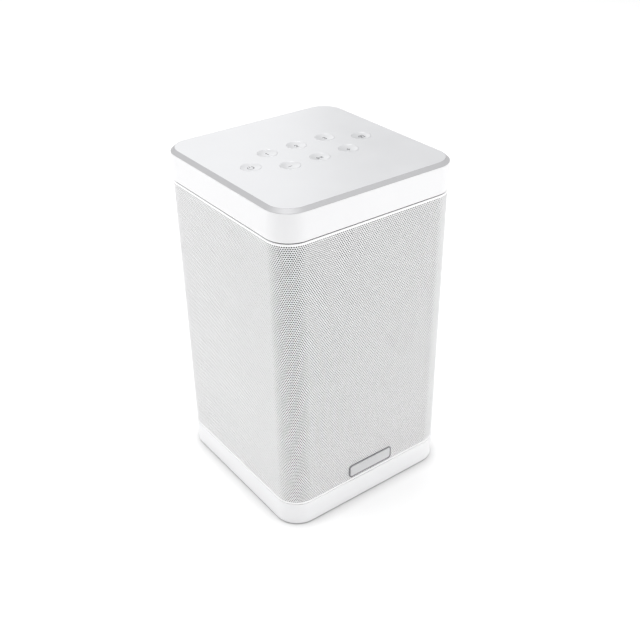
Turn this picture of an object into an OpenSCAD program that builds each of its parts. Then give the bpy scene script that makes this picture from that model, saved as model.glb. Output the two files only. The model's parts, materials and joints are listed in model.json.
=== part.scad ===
// Wireless table speaker: a square column with a wrapped perforated grille, a white base and cap,
// and a silver top panel with eight round keys. Millimetres, Z up, front towards -Y,
// origin on the floor under the middle of the column.

/* [Enclosure] */
// Width and depth of the column
body_w = 128; // [126:1:132]
// Height of the column, feet included
body_h = 222; // [221:1:226]
// Radius of the upright corners
corner_r = 16; // [15:1:18]
// Height of the seam between base and grille
base_top = 16.9; // [15.9:0.1:17.9]
// Height of the white cap below the top panel
cap_h = 17.15; // [17:0.05:17.5]
// Bevel of the top panel, measured inwards
panel_bevel = 2.4; // [1.5:0.1:3]
// Thickness of the top panel
panel_t = 2.1; // [1.8:0.1:2.4]

/* [Grille] */
// Thickness of the perforated sheet
sheet_t = 0.5; // [0.4:0.1:0.6]
// How far the sheet stands back from the base and cap
sheet_inset = 0.3; // [0.2:0.1:0.5]
// Gap between grille and cap
cap_gap = 0.7; // [0.4:0.1:1]
// Gap between base and grille
base_gap = 0.3; // [0.2:0.1:0.5]
// Badge width and height
badge_size = [35, 9.5]; // [5:0.5:40]
// Height of the middle of the badge
badge_z = 25; // [23:1:40]

/* [Keys] */
// Diameter of a key
key_d = 11.9; // [11:0.1:13]
// Distance between key columns
key_pitch_x = 21.3; // [20:0.1:22]
// Distance between the two rows of three keys
key_pitch_y = 23.6; // [22:0.1:25]
// Distance of the two end keys from the middle
key_end_x = 40.6; // [39:0.1:41]
// Depth of the dish in a key
dish_depth = 0.6; // [0.3:0.1:1]

/* [Drivers] */
// Height of the woofer's axis
woofer_z = 78; // [76:1:82]
// Height of the tweeter's axis
tweeter_z = 160; // [156:1:162]
// Diameter of the woofer's frame
woofer_d = 98; // [96:1:100]
// Diameter of the tweeter's face plate
tweeter_d = 52; // [50:1:54]

/* [Rear] */
// Width of the rear panel
rear_w = 79.6; // [78:0.1:79.8]
// Height of the port's axis
port_z = 165; // [163:1:167]
// Bore of the port
port_d = 30; // [28:1:31]

/* [Hidden] */
$fn = 96;

half_w = body_w / 2;
panel_z = body_h - panel_t;
cap_z = panel_z - cap_h;
grille_z = base_top + base_gap;
grille_top = cap_z - cap_gap;

// Base
base_z = 0.6;
base_floor = 3;
base_wall = 2;
base_chamfer = 0.5;
foot_d = 14;
foot_t = 2;
foot_at = 44;

// Cabinet
cab_w = body_w - 4.8;
cab_r = corner_r - (body_w - cab_w) / 2;
cab_wall = 4;
cab_z = 10;
cab_top = cap_z + 2.25;
baffle_t = 12;
seal_t = 1;
baffle_back = -cab_w / 2 + baffle_t;
cab_front = baffle_back + seal_t;
partition_y = 34;
bay_y = partition_y + cab_wall;
cab_rear = cab_w / 2;
bay_opening_w = 66;
bay_opening_z = [28, 190];
post_at = [52, 30];
post_d = 8;
boss_len = 12;
floor_boss_h = 9;

// Screws
screw_d = 3;
screw_len = 12;
screw_head = [5.5, 2];
small_d = 2;
small_len = 5.6;
small_head = [4, 1.5];
free = 0.1;

// Cap and keys
cap_wall = 2;
deck_t = 3;
deck_z = panel_z - deck_t;
key_hole_d = key_d + 0.2;
flange_d = key_d + 2.6;
flange_t = 1;
flange_z = deck_z - 0.2 - flange_t;
stem_d = 4;
board_t = 1.6;
control_z = deck_z - 8.5;
mat_z = control_z + board_t;
mat_t = 0.8;
dome_top = mat_z + 3.3;
control_size = [106, 46];
control_post = [47, 19];
key_row_y = key_pitch_y / 2;
key_power_at = [-key_end_x, 0];
key_one_at = [-key_pitch_x, key_row_y];
key_two_at = [0, key_row_y];
key_three_at = [key_pitch_x, key_row_y];
key_source_at = [key_end_x, 0];
key_minus_at = [-key_pitch_x, -key_row_y];
key_play_at = [0, -key_row_y];
key_plus_at = [key_pitch_x, -key_row_y];
key_places = [
    key_power_at, key_one_at, key_two_at, key_three_at,
    key_source_at, key_minus_at, key_play_at, key_plus_at
];

// Drivers, whose frames sit in recesses in the baffle
woofer_recess = 7;
woofer_y = -cab_w / 2 + woofer_recess;
woofer_cut_r = 44.5;
woofer_flange_t = 2.5;
woofer_flange_in_r = 41;
tweeter_recess = 5;
tweeter_y = -cab_w / 2 + tweeter_recess;
tweeter_cut_r = 21;
tweeter_plate_t = 2;
woofer_screw_r = 46.6;
tweeter_screw_r = 23.2;
driver_screw_len = 4.4;

// Rear bay
rear_y = half_w - sheet_inset;
rear_screw_at = 36.5;
rear_screw_z = [24, 110, 196];
board_y = 44;
board_front = board_y + board_t;
main_at = [-8, 50, 26, 86];
power_at = [-50, 50, 92, 142];
inlet_at = [-20, 46];
inlet_pin_gap = 8.6;
inlet_pin_d = 2.4;
usb_at = [8, 40];
network_at = [8, 56];
line_at = [26, 40];
port_outer_d = port_d + 6;
port_flange_d = 44;
port_front = -10;
lead_at = [10, 89];
lead_d = 2.4;

// ---- helpers ----

module rounded_plan(w, r) {
    square([w - 2 * r, w], center = true);
    square([w, w - 2 * r], center = true);
    for (x = [-1, 1], y = [-1, 1])
        translate([x * (w / 2 - r), y * (w / 2 - r)]) circle(r);
}

module rounded_block(w, r, z0, z1) {
    translate([0, 0, z0]) linear_extrude(z1 - z0) rounded_plan(w, r);
}

// A rounded slab whose sides lean in at the foot, the top or both
module leaning_slab(w, r, z0, z1, foot_inset, top_inset) {
    flat = w - 2 * r;
    h = z1 - z0;
    side = [
        [-w / 2 + foot_inset, 0], [w / 2 - foot_inset, 0],
        [w / 2 - top_inset, h], [-w / 2 + top_inset, h]
    ];
    translate([0, 0, z0]) {
        for (turn = [0, 90])
            rotate([90, 0, turn]) linear_extrude(flat, center = true) polygon(side);
        for (x = [-1, 1], y = [-1, 1])
            translate([x * flat / 2, y * flat / 2, 0])
                cylinder(h = h, r1 = r - foot_inset, r2 = r - top_inset);
    }
}

module block(x0, x1, y0, y1, z0, z1) {
    translate([x0, y0, z0]) cube([x1 - x0, y1 - y0, z1 - z0]);
}

module at_corners(x, y) {
    for (sx = [-1, 1], sy = [-1, 1]) translate([sx * x, sy * y, 0]) children();
}

// Turns a shape drawn along Z so that it points out of the front, with its foot at y
module facing_front(y, x, z) {
    translate([x, y, z]) rotate([90, 0, 0]) children();
}

// Turns a shape drawn along Z so that it points out of the back, with its foot at y
module facing_back(y, x, z) {
    translate([x, y, z]) rotate([-90, 0, 0]) children();
}

module ring(r_in, r_out, z0, z1) {
    translate([0, 0, z0]) difference() {
        cylinder(h = z1 - z0, r = r_out);
        translate([0, 0, -1]) cylinder(h = z1 - z0 + 2, r = r_in);
    }
}

// A screw drawn point up: the head is below z = 0
module screw(d, len, head) {
    cylinder(h = len, d = d);
    translate([0, 0, -head[1]]) difference() {
        cylinder(h = head[1], d = head[0]);
        translate([0, 0, -0.1]) cylinder(h = head[1] / 2 + 0.1, d = head[0] / 2, $fn = 6);
    }
}

module case_screw() {
    screw(screw_d, screw_len, screw_head);
}

module small_screw() {
    screw(small_d, small_len, small_head);
}

module driver_screw() {
    screw(small_d, driver_screw_len, small_head);
}

module screw_hole(d, len) {
    cylinder(h = len, d = d + 2 * free);
}

// Places of the screws that join baffle and cabinet: x, z
baffle_screw_x = 53.9;
baffle_screws = [for (x = [-1, 1], z = [22, 128, 193]) [x * baffle_screw_x, z]];

// A round lead swept along points as a tube with eight sides
lead_sides = 8;
function lead_dir(p, i) =
    let (a = p[max(i - 1, 0)], b = p[min(i + 1, len(p) - 1)], d = b - a) d / norm(d);
function lead_ring(p, i, r) =
    let (
        d = lead_dir(p, i),
        u0 = cross(d, [0.3, 0.2, 0.93]),
        u = u0 / norm(u0),
        v = cross(d, u)
    )
    [for (k = [0:lead_sides - 1]) p[i] + r * (u * cos(360 * k / lead_sides) + v * sin(360 * k / lead_sides))];
module lead(p, d) {
    n = len(p);
    points = [for (i = [0:n - 1]) each lead_ring(p, i, d / 2)];
    sides = [
        for (i = [0:n - 2], k = [0:lead_sides - 1])
            let (k2 = (k + 1) % lead_sides)
            [i * lead_sides + k, i * lead_sides + k2, (i + 1) * lead_sides + k2, (i + 1) * lead_sides + k]
    ];
    foot = [for (k = [lead_sides - 1:-1:0]) k];
    tip = [for (k = [0:lead_sides - 1]) (n - 1) * lead_sides + k];
    polyhedron(points, concat([foot], sides, [tip]));
}

// ---- outside ----

module base() {
    color("white") difference() {
        union() {
            leaning_slab(body_w, corner_r, base_z, base_z + base_chamfer, base_chamfer, 0);
            rounded_block(body_w, corner_r, base_z + base_chamfer, base_top);
        }
        difference() {
            rounded_block(body_w - 2 * base_wall, corner_r - base_wall, base_z + base_floor, base_top + 1);
            at_corners(post_at[0], post_at[1])
                translate([0, 0, base_z]) cylinder(h = cab_z - base_z, d = post_d);
        }
        at_corners(foot_at, foot_at) cylinder(h = foot_t, d = foot_d + 2 * free);
        at_corners(post_at[0], post_at[1]) {
            cylinder(h = base_z + base_floor, d = screw_head[0] + 0.5);
            cylinder(h = cab_z + 1, d = screw_d + 2 * free);
        }
    }
}

module feet() {
    color("dimgray") at_corners(foot_at, foot_at) cylinder(h = foot_t, d = foot_d);
}

module grille() {
    w = body_w - 2 * sheet_inset;
    color("whitesmoke") difference() {
        rounded_block(w, corner_r - sheet_inset, grille_z, grille_top);
        rounded_block(w - 2 * sheet_t, corner_r - sheet_inset - sheet_t, grille_z - 1, grille_top + 1);
        block(-rear_w / 2 - 0.3, rear_w / 2 + 0.3, 0, half_w, grille_z - 1, grille_top + 1);
    }
}

module grille_cloth() {
    w = body_w - 2 * (sheet_inset + sheet_t) - 0.1;
    cloth_t = 0.3;
    margin = 1;
    color("black") difference() {
        rounded_block(w, corner_r - 0.85, grille_z + margin, grille_top - margin);
        rounded_block(w - 2 * cloth_t, corner_r - 0.85 - cloth_t, grille_z, grille_top);
        block(-rear_w / 2 - margin, rear_w / 2 + margin, 0, half_w, grille_z, grille_top);
    }
}

module badge() {
    badge_r = 2;
    badge_t = 0.8;
    w = badge_size[0];
    h = badge_size[1];
    color("silver") facing_front(-half_w + sheet_inset, 0, badge_z) linear_extrude(badge_t) {
        square([w - 2 * badge_r, h], center = true);
        square([w, h - 2 * badge_r], center = true);
        for (x = [-1, 1], z = [-1, 1])
            translate([x * (w / 2 - badge_r), z * (h / 2 - badge_r)]) circle(badge_r);
    }
}

module top_cap() {
    color("white") difference() {
        rounded_block(body_w, corner_r, cap_z, panel_z);
        difference() {
            rounded_block(body_w - 2 * cap_wall, corner_r - cap_wall, cap_z - 1, deck_z);
            at_corners(post_at[0], post_at[1])
                translate([0, 0, cab_top]) cylinder(h = deck_z - cab_top, d = post_d);
            at_corners(control_post[0], control_post[1])
                translate([0, 0, mat_z]) cylinder(h = deck_z - mat_z, d = 5);
        }
        at_corners(post_at[0], post_at[1])
            translate([0, 0, cab_top - 1]) screw_hole(screw_d, screw_len - 2);
        at_corners(control_post[0], control_post[1])
            translate([0, 0, mat_z - 1]) screw_hole(small_d, small_len);
        for (p = key_places) translate([p[0], p[1], deck_z - 1]) cylinder(h = deck_t + 2, d = key_hole_d);
    }
}

module top_panel() {
    color("silver") difference() {
        leaning_slab(body_w, corner_r, panel_z, body_h, 0, panel_bevel);
        for (p = key_places) translate([p[0], p[1], panel_z - 1]) cylinder(h = panel_t + 2, d = key_hole_d);
    }
}

// One key: a dished disc through the panel, a flange that holds it in and a stem over the mat
module key(place) {
    rim = 0.2;
    dish_r = key_d / 2 - rim;
    sphere_r = (dish_r * dish_r + dish_depth * dish_depth) / (2 * dish_depth);
    color("gainsboro") translate([place[0], place[1], 0]) difference() {
        union() {
            translate([0, 0, flange_z]) cylinder(h = flange_t, d = flange_d);
            translate([0, 0, flange_z]) cylinder(h = body_h - flange_z, d = key_d);
            translate([0, 0, dome_top + 0.1]) cylinder(h = flange_z - dome_top, d = stem_d);
        }
        translate([0, 0, body_h - dish_depth + sphere_r]) sphere(sphere_r);
    }
}

module key_power() { key(key_power_at); }
module key_one() { key(key_one_at); }
module key_two() { key(key_two_at); }
module key_three() { key(key_three_at); }
module key_source() { key(key_source_at); }
module key_minus() { key(key_minus_at); }
module key_play() { key(key_play_at); }
module key_plus() { key(key_plus_at); }

// ---- cabinet ----

module cabinet() {
    inner_w = cab_w - 2 * cab_wall;
    inner_r = cab_r - cab_wall;
    color("dimgray") difference() {
        union() {
            difference() {
                rounded_block(cab_w, cab_r, cab_z, cab_top);
                rounded_block(inner_w, inner_r, cab_z + cab_wall, cab_top - cab_wall);
                block(-cab_w, cab_w, -cab_w, cab_front, cab_z - 1, cab_top + 1);
            }
            block(-inner_w / 2, inner_w / 2, partition_y, bay_y, cab_z + cab_wall, cab_top - cab_wall);
            for (p = baffle_screws)
                facing_back(cab_front, p[0], p[1]) cylinder(h = boss_len, d = post_d);
            at_corners(post_at[0], post_at[1])
                translate([0, 0, cab_z]) cylinder(h = floor_boss_h, d = post_d);
            for (p = board_posts)
                facing_back(bay_y, p[0], p[1]) cylinder(h = board_y - bay_y, d = 5);
        }
        block(-bay_opening_w / 2, bay_opening_w / 2, bay_y + cab_wall, cab_w, bay_opening_z[0], bay_opening_z[1]);
        facing_back(partition_y - 1, 0, port_z) cylinder(h = cab_wall + 2, d = port_outer_d + 0.4);
        facing_back(partition_y - 1, lead_at[0], lead_at[1]) cylinder(h = cab_wall + 2, d = 8);
        for (p = baffle_screws) facing_back(cab_front - 1, p[0], p[1]) screw_hole(screw_d, screw_len);
        at_corners(post_at[0], post_at[1]) {
            translate([0, 0, cab_z - 1]) screw_hole(screw_d, screw_len - 4);
            translate([0, 0, cab_top - cab_wall - 1]) screw_hole(screw_d, cab_wall + 2);
        }
        for (p = board_posts) facing_back(bay_y + 1, p[0], p[1]) screw_hole(small_d, board_y - bay_y);
        for (x = [-1, 1], z = rear_screw_z)
            facing_back(cab_rear - screw_len, x * rear_screw_at, z) screw_hole(screw_d, screw_len + 1);
        block(ribbon_x - 1, ribbon_x + ribbon_w + 1, ribbon_y - 1, ribbon_y + 1.5, cab_top - cab_wall - 1, cab_top + 1);
    }
}

module front_baffle() {
    color("dimgray") difference() {
        intersection() {
            rounded_block(cab_w, cab_r, cab_z, cab_top);
            block(-cab_w, cab_w, -cab_w, baffle_back, cab_z, cab_top);
        }
        facing_front(woofer_y, 0, woofer_z) cylinder(h = woofer_recess + 1, d = woofer_d + 0.4);
        facing_front(baffle_back + 1, 0, woofer_z) cylinder(h = baffle_t, r = woofer_cut_r);
        facing_front(tweeter_y, 0, tweeter_z) cylinder(h = tweeter_recess + 1, d = tweeter_d + 0.4);
        facing_front(baffle_back + 1, 0, tweeter_z) cylinder(h = baffle_t, r = tweeter_cut_r);
        for (turn = [45:90:315]) {
            facing_front(woofer_y + 3, 0, woofer_z) rotate([0, 0, turn])
                translate([woofer_screw_r, 0, 0]) screw_hole(small_d, 4);
            facing_front(tweeter_y + 3, 0, tweeter_z) rotate([0, 0, turn])
                translate([tweeter_screw_r, 0, 0]) screw_hole(small_d, 4);
        }
        for (p = baffle_screws) {
            facing_front(baffle_back + 1, p[0], p[1]) screw_hole(screw_d, baffle_t + 2);
            facing_front(baffle_back - 2, p[0], p[1]) cylinder(h = baffle_t, d = screw_head[0] + 0.5);
        }
    }
}

module cabinet_gasket() {
    color("black") difference() {
        intersection() {
            rounded_block(cab_w, cab_r, cab_z, cab_top);
            block(-cab_w, cab_w, baffle_back, cab_front, cab_z, cab_top);
        }
        block(-cab_w / 2 + cab_wall, cab_w / 2 - cab_wall, -cab_w, 0, cab_z + cab_wall, cab_top - cab_wall);
    }
}

module damping_pad() {
    pad_w = 96;
    pad_t = 10.5;
    pad_z = [22, 82];
    back = partition_y - 0.5;
    color("gainsboro") block(-pad_w / 2, pad_w / 2, back - pad_t, back, pad_z[0], pad_z[1]);
}

module case_screws() {
    color("dimgray") {
        for (x = [-1, 1], y = [-1, 1]) {
            translate([x * post_at[0], y * post_at[1], base_z + base_floor]) case_screw();
            translate([x * post_at[0], y * post_at[1], cab_top - cab_wall]) case_screw();
        }
        for (p = baffle_screws) facing_back(baffle_back - 2, p[0], p[1]) case_screw();
    }
}

// ---- woofer, drawn with its frame's back at z = 0 and its front up ----

module at_woofer() {
    facing_front(woofer_y, 0, woofer_z) children();
}

cone_mouth_r = 33.6;
cone_neck_r = 12.6;
cone_mouth_z = 2.4;
cone_neck_z = -14;
cone_t = 0.7;
roll_r = 4;
roll_mid_r = 38;
coil_in_r = 12;
coil_foot_z = -34;
basket_foot_z = -30;
top_plate_t = 4;
magnet_t = 12;
back_plate_t = 5;

module woofer_frame() {
    spoke_w = 9;
    wall = [[41, 0], [44, 0], [26, -28], [26, basket_foot_z], [14, basket_foot_z], [14, -28], [23, -28]];
    color("dimgray") at_woofer() difference() {
        union() {
            ring(woofer_flange_in_r, woofer_d / 2, 0, woofer_flange_t);
            rotate_extrude() polygon(wall);
        }
        for (turn = [0:60:300]) rotate([0, 0, turn + 30])
            translate([18, -spoke_w, -26]) cube([30, 2 * spoke_w, 22]);
        for (turn = [45:90:315]) rotate([0, 0, turn])
            translate([woofer_screw_r, 0, -1]) cylinder(h = 5, d = small_d + 2 * free);
    }
}

module woofer_gasket() {
    color("black") at_woofer() difference() {
        ring(44, woofer_d / 2, woofer_flange_t, woofer_flange_t + 1.2);
        for (turn = [45:90:315]) rotate([0, 0, turn])
            translate([woofer_screw_r, 0, 2]) cylinder(h = 5, d = small_head[0] + 0.4);
    }
}

module woofer_surround() {
    land = 2;
    t = 0.5;
    color("black") at_woofer() rotate_extrude() {
        translate([roll_mid_r + roll_r - t / 2, woofer_flange_t]) square([land, t]);
        translate([roll_mid_r - roll_r - land + t / 2, woofer_flange_t]) square([land, t]);
        translate([roll_mid_r, woofer_flange_t]) intersection() {
            difference() {
                circle(roll_r);
                circle(roll_r - t);
            }
            translate([-roll_r, 0]) square([2 * roll_r, roll_r]);
        }
    }
}

module woofer_cone() {
    side = [
        [cone_mouth_r, cone_mouth_z], [cone_neck_r, cone_neck_z],
        [cone_neck_r, cone_neck_z - cone_t], [cone_mouth_r + 0.4, cone_mouth_z - cone_t]
    ];
    color("silver") at_woofer() rotate_extrude() polygon(side);
}

module woofer_dust_cap() {
    cap_r = 16;
    foot = cone_neck_z + (cap_r - cone_neck_r) * (cone_mouth_z - cone_neck_z) / (cone_mouth_r - cone_neck_r);
    rise = 4.5;
    sphere_r = (cap_r * cap_r + rise * rise) / (2 * rise);
    color("dimgray") at_woofer() translate([0, 0, foot + 0.05]) difference() {
        intersection() {
            translate([0, 0, rise - sphere_r]) sphere(sphere_r);
            cylinder(h = rise + 1, r = cap_r);
        }
        translate([0, 0, rise - sphere_r]) sphere(sphere_r - 0.6);
    }
}

module woofer_spider() {
    inner_r = 13;
    ridge = 1;
    pitch = 2.85;
    t = 0.4;
    steps = 5;
    wave = [for (i = [0:steps]) [inner_r + i * pitch, (i % 2) * ridge]];
    under = [for (i = [steps:-1:0]) [inner_r + i * pitch, (i % 2) * ridge - t]];
    color("goldenrod") at_woofer() translate([0, 0, -21]) rotate_extrude() polygon(concat(wave, under));
}

module woofer_coil() {
    former_t = 0.4;
    winding_h = 7;
    color("chocolate") at_woofer() union() {
        ring(coil_in_r, coil_in_r + former_t, coil_foot_z, cone_neck_z - cone_t);
        ring(coil_in_r, coil_in_r + 2 * former_t, coil_foot_z, coil_foot_z + winding_h);
    }
}

module woofer_top_plate() {
    color("silver") at_woofer()
        ring(coil_in_r + 1.4, 28, basket_foot_z - top_plate_t, basket_foot_z);
}

module woofer_magnet() {
    color("dimgray") at_woofer()
        ring(17, 32, basket_foot_z - top_plate_t - magnet_t, basket_foot_z - top_plate_t);
}

module woofer_yoke() {
    back_z = basket_foot_z - top_plate_t - magnet_t - back_plate_t;
    color("silver") at_woofer() difference() {
        union() {
            translate([0, 0, back_z]) cylinder(h = back_plate_t, r = 30);
            translate([0, 0, back_z]) cylinder(h = basket_foot_z - back_z, r = coil_in_r - 0.5);
        }
        translate([0, 0, back_z - 1]) cylinder(h = 30, r = 3);
    }
}

// ---- tweeter, drawn the same way ----

module at_tweeter() {
    facing_front(tweeter_y, 0, tweeter_z) children();
}

dome_r = 10;
tweeter_top_plate_t = 4;
tweeter_magnet_t = 8;
tweeter_back_t = 3;

module tweeter_plate() {
    color("dimgray") at_tweeter() difference() {
        ring(11.5, tweeter_d / 2, 0, tweeter_plate_t);
        for (turn = [45:90:315]) rotate([0, 0, turn])
            translate([tweeter_screw_r, 0, -1]) cylinder(h = 5, d = small_d + 2 * free);
    }
}

module tweeter_dome() {
    rise = 3;
    foot = 0.6;
    sphere_r = (dome_r * dome_r + rise * rise) / (2 * rise);
    color("black") at_tweeter() translate([0, 0, foot]) {
        difference() {
            intersection() {
                translate([0, 0, rise - sphere_r]) sphere(sphere_r);
                cylinder(h = rise + 1, r = dome_r);
            }
            translate([0, 0, rise - sphere_r]) sphere(sphere_r - 0.4);
        }
        ring(dome_r - 0.6, 11.2, 0, 0.4);
    }
}

module tweeter_coil() {
    color("chocolate") at_tweeter() ring(dome_r - 0.4, dome_r + 0.1, -3, 0.6);
}

module tweeter_top_plate() {
    color("silver") at_tweeter() ring(dome_r + 0.7, 20, -tweeter_top_plate_t, 0);
}

module tweeter_magnet() {
    foot = -tweeter_top_plate_t - tweeter_magnet_t;
    color("dimgray") at_tweeter() ring(13, 20, foot, -tweeter_top_plate_t);
}

module tweeter_yoke() {
    magnet_foot = -tweeter_top_plate_t - tweeter_magnet_t;
    color("silver") at_tweeter() {
        translate([0, 0, magnet_foot - tweeter_back_t]) cylinder(h = tweeter_back_t, r = 20);
        translate([0, 0, magnet_foot - 0.5]) cylinder(h = 0.5 - magnet_foot, r = dome_r - 0.9);
    }
}

module driver_screws() {
    color("dimgray") {
        at_woofer() for (turn = [45:90:315]) rotate([0, 0, turn])
            translate([woofer_screw_r, 0, woofer_flange_t]) rotate([180, 0, 0]) driver_screw();
        at_tweeter() for (turn = [45:90:315]) rotate([0, 0, turn])
            translate([tweeter_screw_r, 0, tweeter_plate_t]) rotate([180, 0, 0]) driver_screw();
    }
}

// ---- rear ----

module rear_panel() {
    x = rear_w / 2;
    edge = 0.3;
    color("white") difference() {
        block(-x, x, cab_rear + 0.1, rear_y, grille_z + edge, grille_top - edge);
        facing_back(cab_rear - 1, 0, port_z) cylinder(h = 8, d = port_flange_d + 0.4);
        block_hole(inlet_at, 24.4, 13.4);
        block_hole(usb_at, 14.4, 7);
        block_hole(network_at, 16.4, 13.4);
        facing_back(cab_rear - 1, line_at[0], line_at[1]) cylinder(h = 8, d = 8.4);
        for (sx = [-1, 1], z = rear_screw_z)
            facing_back(cab_rear - 1, sx * rear_screw_at, z) screw_hole(screw_d, 8);
    }
}

// A rectangular hole through the rear panel
module block_hole(at, w, h) {
    block(at[0] - w / 2, at[0] + w / 2, cab_rear - 1, half_w + 1, at[1] - h / 2, at[1] + h / 2);
}

module rear_screws() {
    color("silver") for (x = [-1, 1], z = rear_screw_z)
        facing_front(rear_y, x * rear_screw_at, z) screw(screw_d, 9, [5.5, 0.6]);
}

module port_tube() {
    flare = 5;
    lip = 0.6;
    mouth = rear_y + lip;
    color("dimgray") facing_back(port_front, 0, port_z) difference() {
        union() {
            cylinder(h = mouth - port_front - 1, d = port_outer_d);
            translate([0, 0, cab_rear + 0.1 - port_front]) cylinder(h = mouth - cab_rear - 0.1, d = port_flange_d);
        }
        translate([0, 0, -1]) cylinder(h = mouth - port_front + 2, d = port_d);
        translate([0, 0, mouth - port_front - flare]) rotate_extrude() difference() {
            square([port_d / 2 + flare, flare + 1]);
            translate([port_d / 2 + flare, 0]) circle(flare);
        }
    }
}

module mains_inlet() {
    shell = [24, 13];
    recess_d = 8.6;
    recess = 12;
    flange = [27, 16];
    back = board_front + 2;
    lip = 0.6;
    color("black") difference() {
        union() {
            block(inlet_at[0] - shell[0] / 2, inlet_at[0] + shell[0] / 2, back, rear_y,
                inlet_at[1] - shell[1] / 2, inlet_at[1] + shell[1] / 2);
            block(inlet_at[0] - flange[0] / 2, inlet_at[0] + flange[0] / 2, rear_y, rear_y + lip,
                inlet_at[1] - flange[1] / 2, inlet_at[1] + flange[1] / 2);
        }
        for (s = [-1, 1])
            facing_back(rear_y - recess, inlet_at[0] + s * inlet_pin_gap / 2, inlet_at[1])
                cylinder(h = recess + 2, d = recess_d);
        block(inlet_at[0] - inlet_pin_gap / 2, inlet_at[0] + inlet_pin_gap / 2,
            rear_y - recess, rear_y + 2, inlet_at[1] - 3.6, inlet_at[1] + 3.6);
        for (s = [-1, 1])
            facing_back(back - 1, inlet_at[0] + s * inlet_pin_gap / 2, inlet_at[1])
                cylinder(h = 10, d = inlet_pin_d + 2 * free);
    }
}

module inlet_pins() {
    color("silver") for (s = [-1, 1])
        facing_back(board_front, inlet_at[0] + s * inlet_pin_gap / 2, inlet_at[1])
            cylinder(h = 15, d = inlet_pin_d);
}

module line_socket() {
    plug_d = 3.6;
    color("black") difference() {
        union() {
            facing_back(board_front, line_at[0], line_at[1]) translate([-5.5, -5.5, 0]) cube([11, 11, 14]);
            facing_back(board_front, line_at[0], line_at[1]) cylinder(h = rear_y - board_front, d = 8);
        }
        facing_back(board_front + 3, line_at[0], line_at[1]) cylinder(h = 20, d = plug_d);
    }
}

module usb_socket() {
    shell = [13.6, 6.2];
    t = 0.5;
    x = usb_at[0];
    z = usb_at[1];
    color("silver") union() {
        difference() {
            block(x - shell[0] / 2, x + shell[0] / 2, board_front, rear_y, z - shell[1] / 2, z + shell[1] / 2);
            block(x - shell[0] / 2 + t, x + shell[0] / 2 - t, board_front + 4, rear_y + 1,
                z - shell[1] / 2 + t, z + shell[1] / 2 - t);
        }
        block(x - 5.5, x + 5.5, board_front + 3, rear_y - 1.5, z + 0.6, z + 2);
    }
}

module network_socket() {
    shell = [15.8, 13];
    mouth = [11.8, 8.4];
    x = network_at[0];
    z = network_at[1];
    color("silver") difference() {
        block(x - shell[0] / 2, x + shell[0] / 2, board_front, rear_y, z - shell[1] / 2, z + shell[1] / 2);
        block(x - mouth[0] / 2, x + mouth[0] / 2, rear_y - 13, rear_y + 1, z - mouth[1] / 2, z + mouth[1] / 2);
        block(x - 3.2, x + 3.2, rear_y - 13, rear_y + 1, z - mouth[1] / 2 - 1.6, z);
    }
}

// ---- electronics ----

inset_post = 4;
main_posts = [
    for (x = [main_at[0] + inset_post, main_at[1] - inset_post], z = [main_at[2] + inset_post, main_at[3] - inset_post])
        [x, z]
];
power_posts = [
    for (x = [power_at[0] + inset_post, power_at[1] - inset_post], z = [power_at[2] + inset_post, power_at[3] - inset_post])
        [x, z]
];
board_posts = concat(main_posts, power_posts);

module upright_board(at, posts) {
    difference() {
        block(at[0], at[1], board_y, board_front, at[2], at[3]);
        for (p = posts) facing_back(board_y - 1, p[0], p[1]) screw_hole(small_d, board_t + 2);
    }
}

module control_board() {
    w = control_size[0];
    d = control_size[1];
    color("darkgreen") difference() {
        block(-w / 2, w / 2, -d / 2, d / 2, control_z, mat_z);
        at_corners(control_post[0], control_post[1])
            translate([0, 0, control_z - 1]) screw_hole(small_d, board_t + 2);
    }
}

// Silicone sheet with a hollow dome under each key
module key_mat() {
    w = control_size[0] - 1;
    d = control_size[1] - 1;
    dome_r = [4.5, 2.5];
    color("lightgray") difference() {
        union() {
            block(-w / 2, w / 2, -d / 2, d / 2, mat_z, mat_z + mat_t);
            for (p = key_places)
                translate([p[0], p[1], mat_z]) cylinder(h = dome_top - mat_z, r1 = dome_r[0], r2 = dome_r[1]);
        }
        for (p = key_places)
            translate([p[0], p[1], mat_z - 0.01])
                cylinder(h = dome_top - mat_z - mat_t, r1 = dome_r[0] - 1, r2 = dome_r[1] - 1);
        at_corners(control_post[0], control_post[1])
            translate([0, 0, mat_z - 1]) cylinder(h = 3, d = 5.4);
    }
}

module main_board() {
    color("darkgreen") upright_board(main_at, main_posts);
}

module power_board() {
    color("darkgreen") upright_board(power_at, power_posts);
}

module wireless_module() {
    corner = [24, 46];
    size = [18, 2.4, 14];
    color("silver") translate([corner[0], board_front, corner[1]]) cube(size);
}

module heat_sink() {
    x0 = 2;
    x1 = 31;
    z0 = 65;
    z1 = 79;
    plate_t = 2;
    fin_t = 1.2;
    fin_h = 10;
    fins = 8;
    pitch = (x1 - x0 - fin_t) / (fins - 1);
    color("silver") {
        block(x0, x1, board_front, board_front + plate_t, z0, z1);
        for (i = [0:fins - 1])
            block(x0 + i * pitch, x0 + i * pitch + fin_t, board_front, board_front + fin_h, z0, z1);
    }
}

module transformer() {
    x0 = -32;
    x1 = -6;
    z0 = 104;
    z1 = 130;
    limb = 4;
    coil_y = board_front + 3;
    top_y = board_front + 12;
    color("goldenrod") {
        block(x0, x1, board_front, coil_y, z0, z1);
        block(x0, x1, coil_y, top_y, z0 + 5, z1 - 5);
        block(x0, x0 + limb, coil_y, top_y, z0, z1);
        block(x1 - limb, x1, coil_y, top_y, z0, z1);
    }
}

module capacitors() {
    can_x = [4, 20];
    can_z = 118;
    can_d = 12;
    can_h = 11;
    color("dimgray") for (x = can_x) facing_back(board_front, x, can_z) cylinder(h = can_h, d = can_d);
}

module board_screws() {
    color("silver") {
        for (p = board_posts) facing_front(board_front, p[0], p[1]) small_screw();
        at_corners(control_post[0], control_post[1]) translate([0, 0, control_z]) small_screw();
    }
}

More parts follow.
